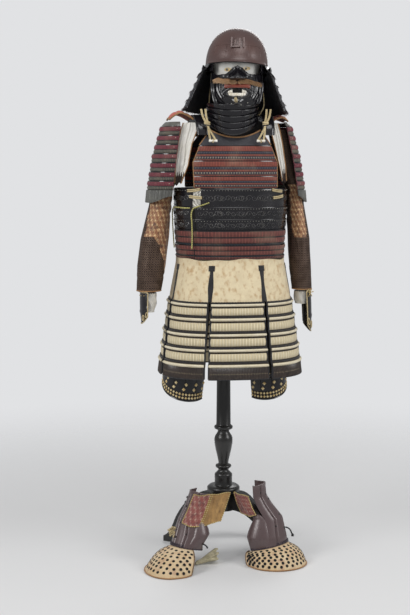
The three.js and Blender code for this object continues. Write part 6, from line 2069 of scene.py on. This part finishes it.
class ARMOUR_OT_stand(bpy.types.Operator):
    """Make the turned stand, its yoke and the smooth head form"""

    bl_idname = "armour.stand"
    bl_label = "Display stand"

    def execute(self, context):
        make_stand()
        return {"FINISHED"}


class ARMOUR_OT_helmet(bpy.types.Operator):
    """Make the helmet bowl, brow plate, crest holder, neck guard and chin cord"""

    bl_idname = "armour.helmet"
    bl_label = "Helmet"

    def execute(self, context):
        make_helmet()
        make_neck_guard()
        make_chin_cord()
        return {"FINISHED"}


class ARMOUR_OT_mask(bpy.types.Operator):
    """Make the war mask and the throat guard under it"""

    bl_idname = "armour.mask"
    bl_label = "Mask and throat guard"

    def execute(self, context):
        make_mask()
        make_throat_guard()
        return {"FINISHED"}


class ARMOUR_OT_cuirass(bpy.types.Operator):
    """Make the laced chest, plain belly lames, waist lames, straps and toggles"""

    bl_idname = "armour.cuirass"
    bl_label = "Cuirass"

    def execute(self, context):
        lacing = context.scene.armour_lacing
        make_chest(lacing.chest_cords)
        make_straps()
        make_belly()
        make_waist(lacing.waist_cords)
        make_toggles()
        return {"FINISHED"}


class ARMOUR_OT_skirt(bpy.types.Operator):
    """Make the leather skirt and the seven tassets below it"""

    bl_idname = "armour.skirt"
    bl_label = "Skirt and tassets"

    def execute(self, context):
        make_skirt()
        make_tassets(context.scene.armour_lacing.tasset_cords)
        return {"FINISHED"}


class ARMOUR_OT_shoulders(bpy.types.Operator):
    """Make the shoulder guards, the padded wings and the armpit cloths"""

    bl_idname = "armour.shoulders"
    bl_label = "Shoulders"

    def execute(self, context):
        make_shoulder_guards(context.scene.armour_lacing.shoulder_cords)
        make_wings()
        make_armpit_cloths()
        return {"FINISHED"}


class ARMOUR_OT_sleeves(bpy.types.Operator):
    """Make the mailed brocade sleeves and the hand guards"""

    bl_idname = "armour.sleeves"
    bl_label = "Sleeves and hand guards"

    def execute(self, context):
        make_sleeves()
        make_hand_guards()
        return {"FINISHED"}


class ARMOUR_OT_legs(bpy.types.Operator):
    """Make the thigh guards, shin guards, knee cloths, foot guards and the tie on the floor"""

    bl_idname = "armour.legs"
    bl_label = "Legs and feet"

    def execute(self, context):
        make_thigh_guards()
        make_shin_guards()
        make_knee_cloths()
        make_foot_guards()
        make_floor_tie()
        return {"FINISHED"}


OPERATORS = (
    ARMOUR_OT_stage, ARMOUR_OT_closing_cords, ARMOUR_OT_stand, ARMOUR_OT_helmet, ARMOUR_OT_mask,
    ARMOUR_OT_cuirass, ARMOUR_OT_skirt, ARMOUR_OT_shoulders, ARMOUR_OT_sleeves, ARMOUR_OT_legs,
)


class ARMOUR_PT_build(bpy.types.Panel):
    """The armour's pieces, in the order in which they are made"""

    bl_label = "Samurai armour"
    bl_idname = "ARMOUR_PT_build"
    bl_space_type = "VIEW_3D"
    bl_region_type = "UI"
    bl_category = "Armour"

    def draw(self, context):
        for group in (context.scene.armour_finish, context.scene.armour_lacing):
            for name in type(group).__annotations__:
                self.layout.prop(group, name)
        for operator in OPERATORS:
            self.layout.operator(operator.bl_idname)


CLASSES = (ArmourFinish, ArmourLacing, *OPERATORS, ARMOUR_PT_build)


def register():
    for made in CLASSES:
        bpy.utils.register_class(made)
    bpy.types.Scene.armour_finish = bpy.props.PointerProperty(type=ArmourFinish)
    bpy.types.Scene.armour_lacing = bpy.props.PointerProperty(type=ArmourLacing)


def unregister():
    del bpy.types.Scene.armour_lacing
    del bpy.types.Scene.armour_finish
    for made in reversed(CLASSES):
        bpy.utils.unregister_class(made)


def main():
    register()
    calls = bpy.ops.armour
    for operator in OPERATORS:
        getattr(calls, operator.bl_idname.split(".")[1])()
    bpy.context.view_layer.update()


if __name__ == "__main__":
    main()
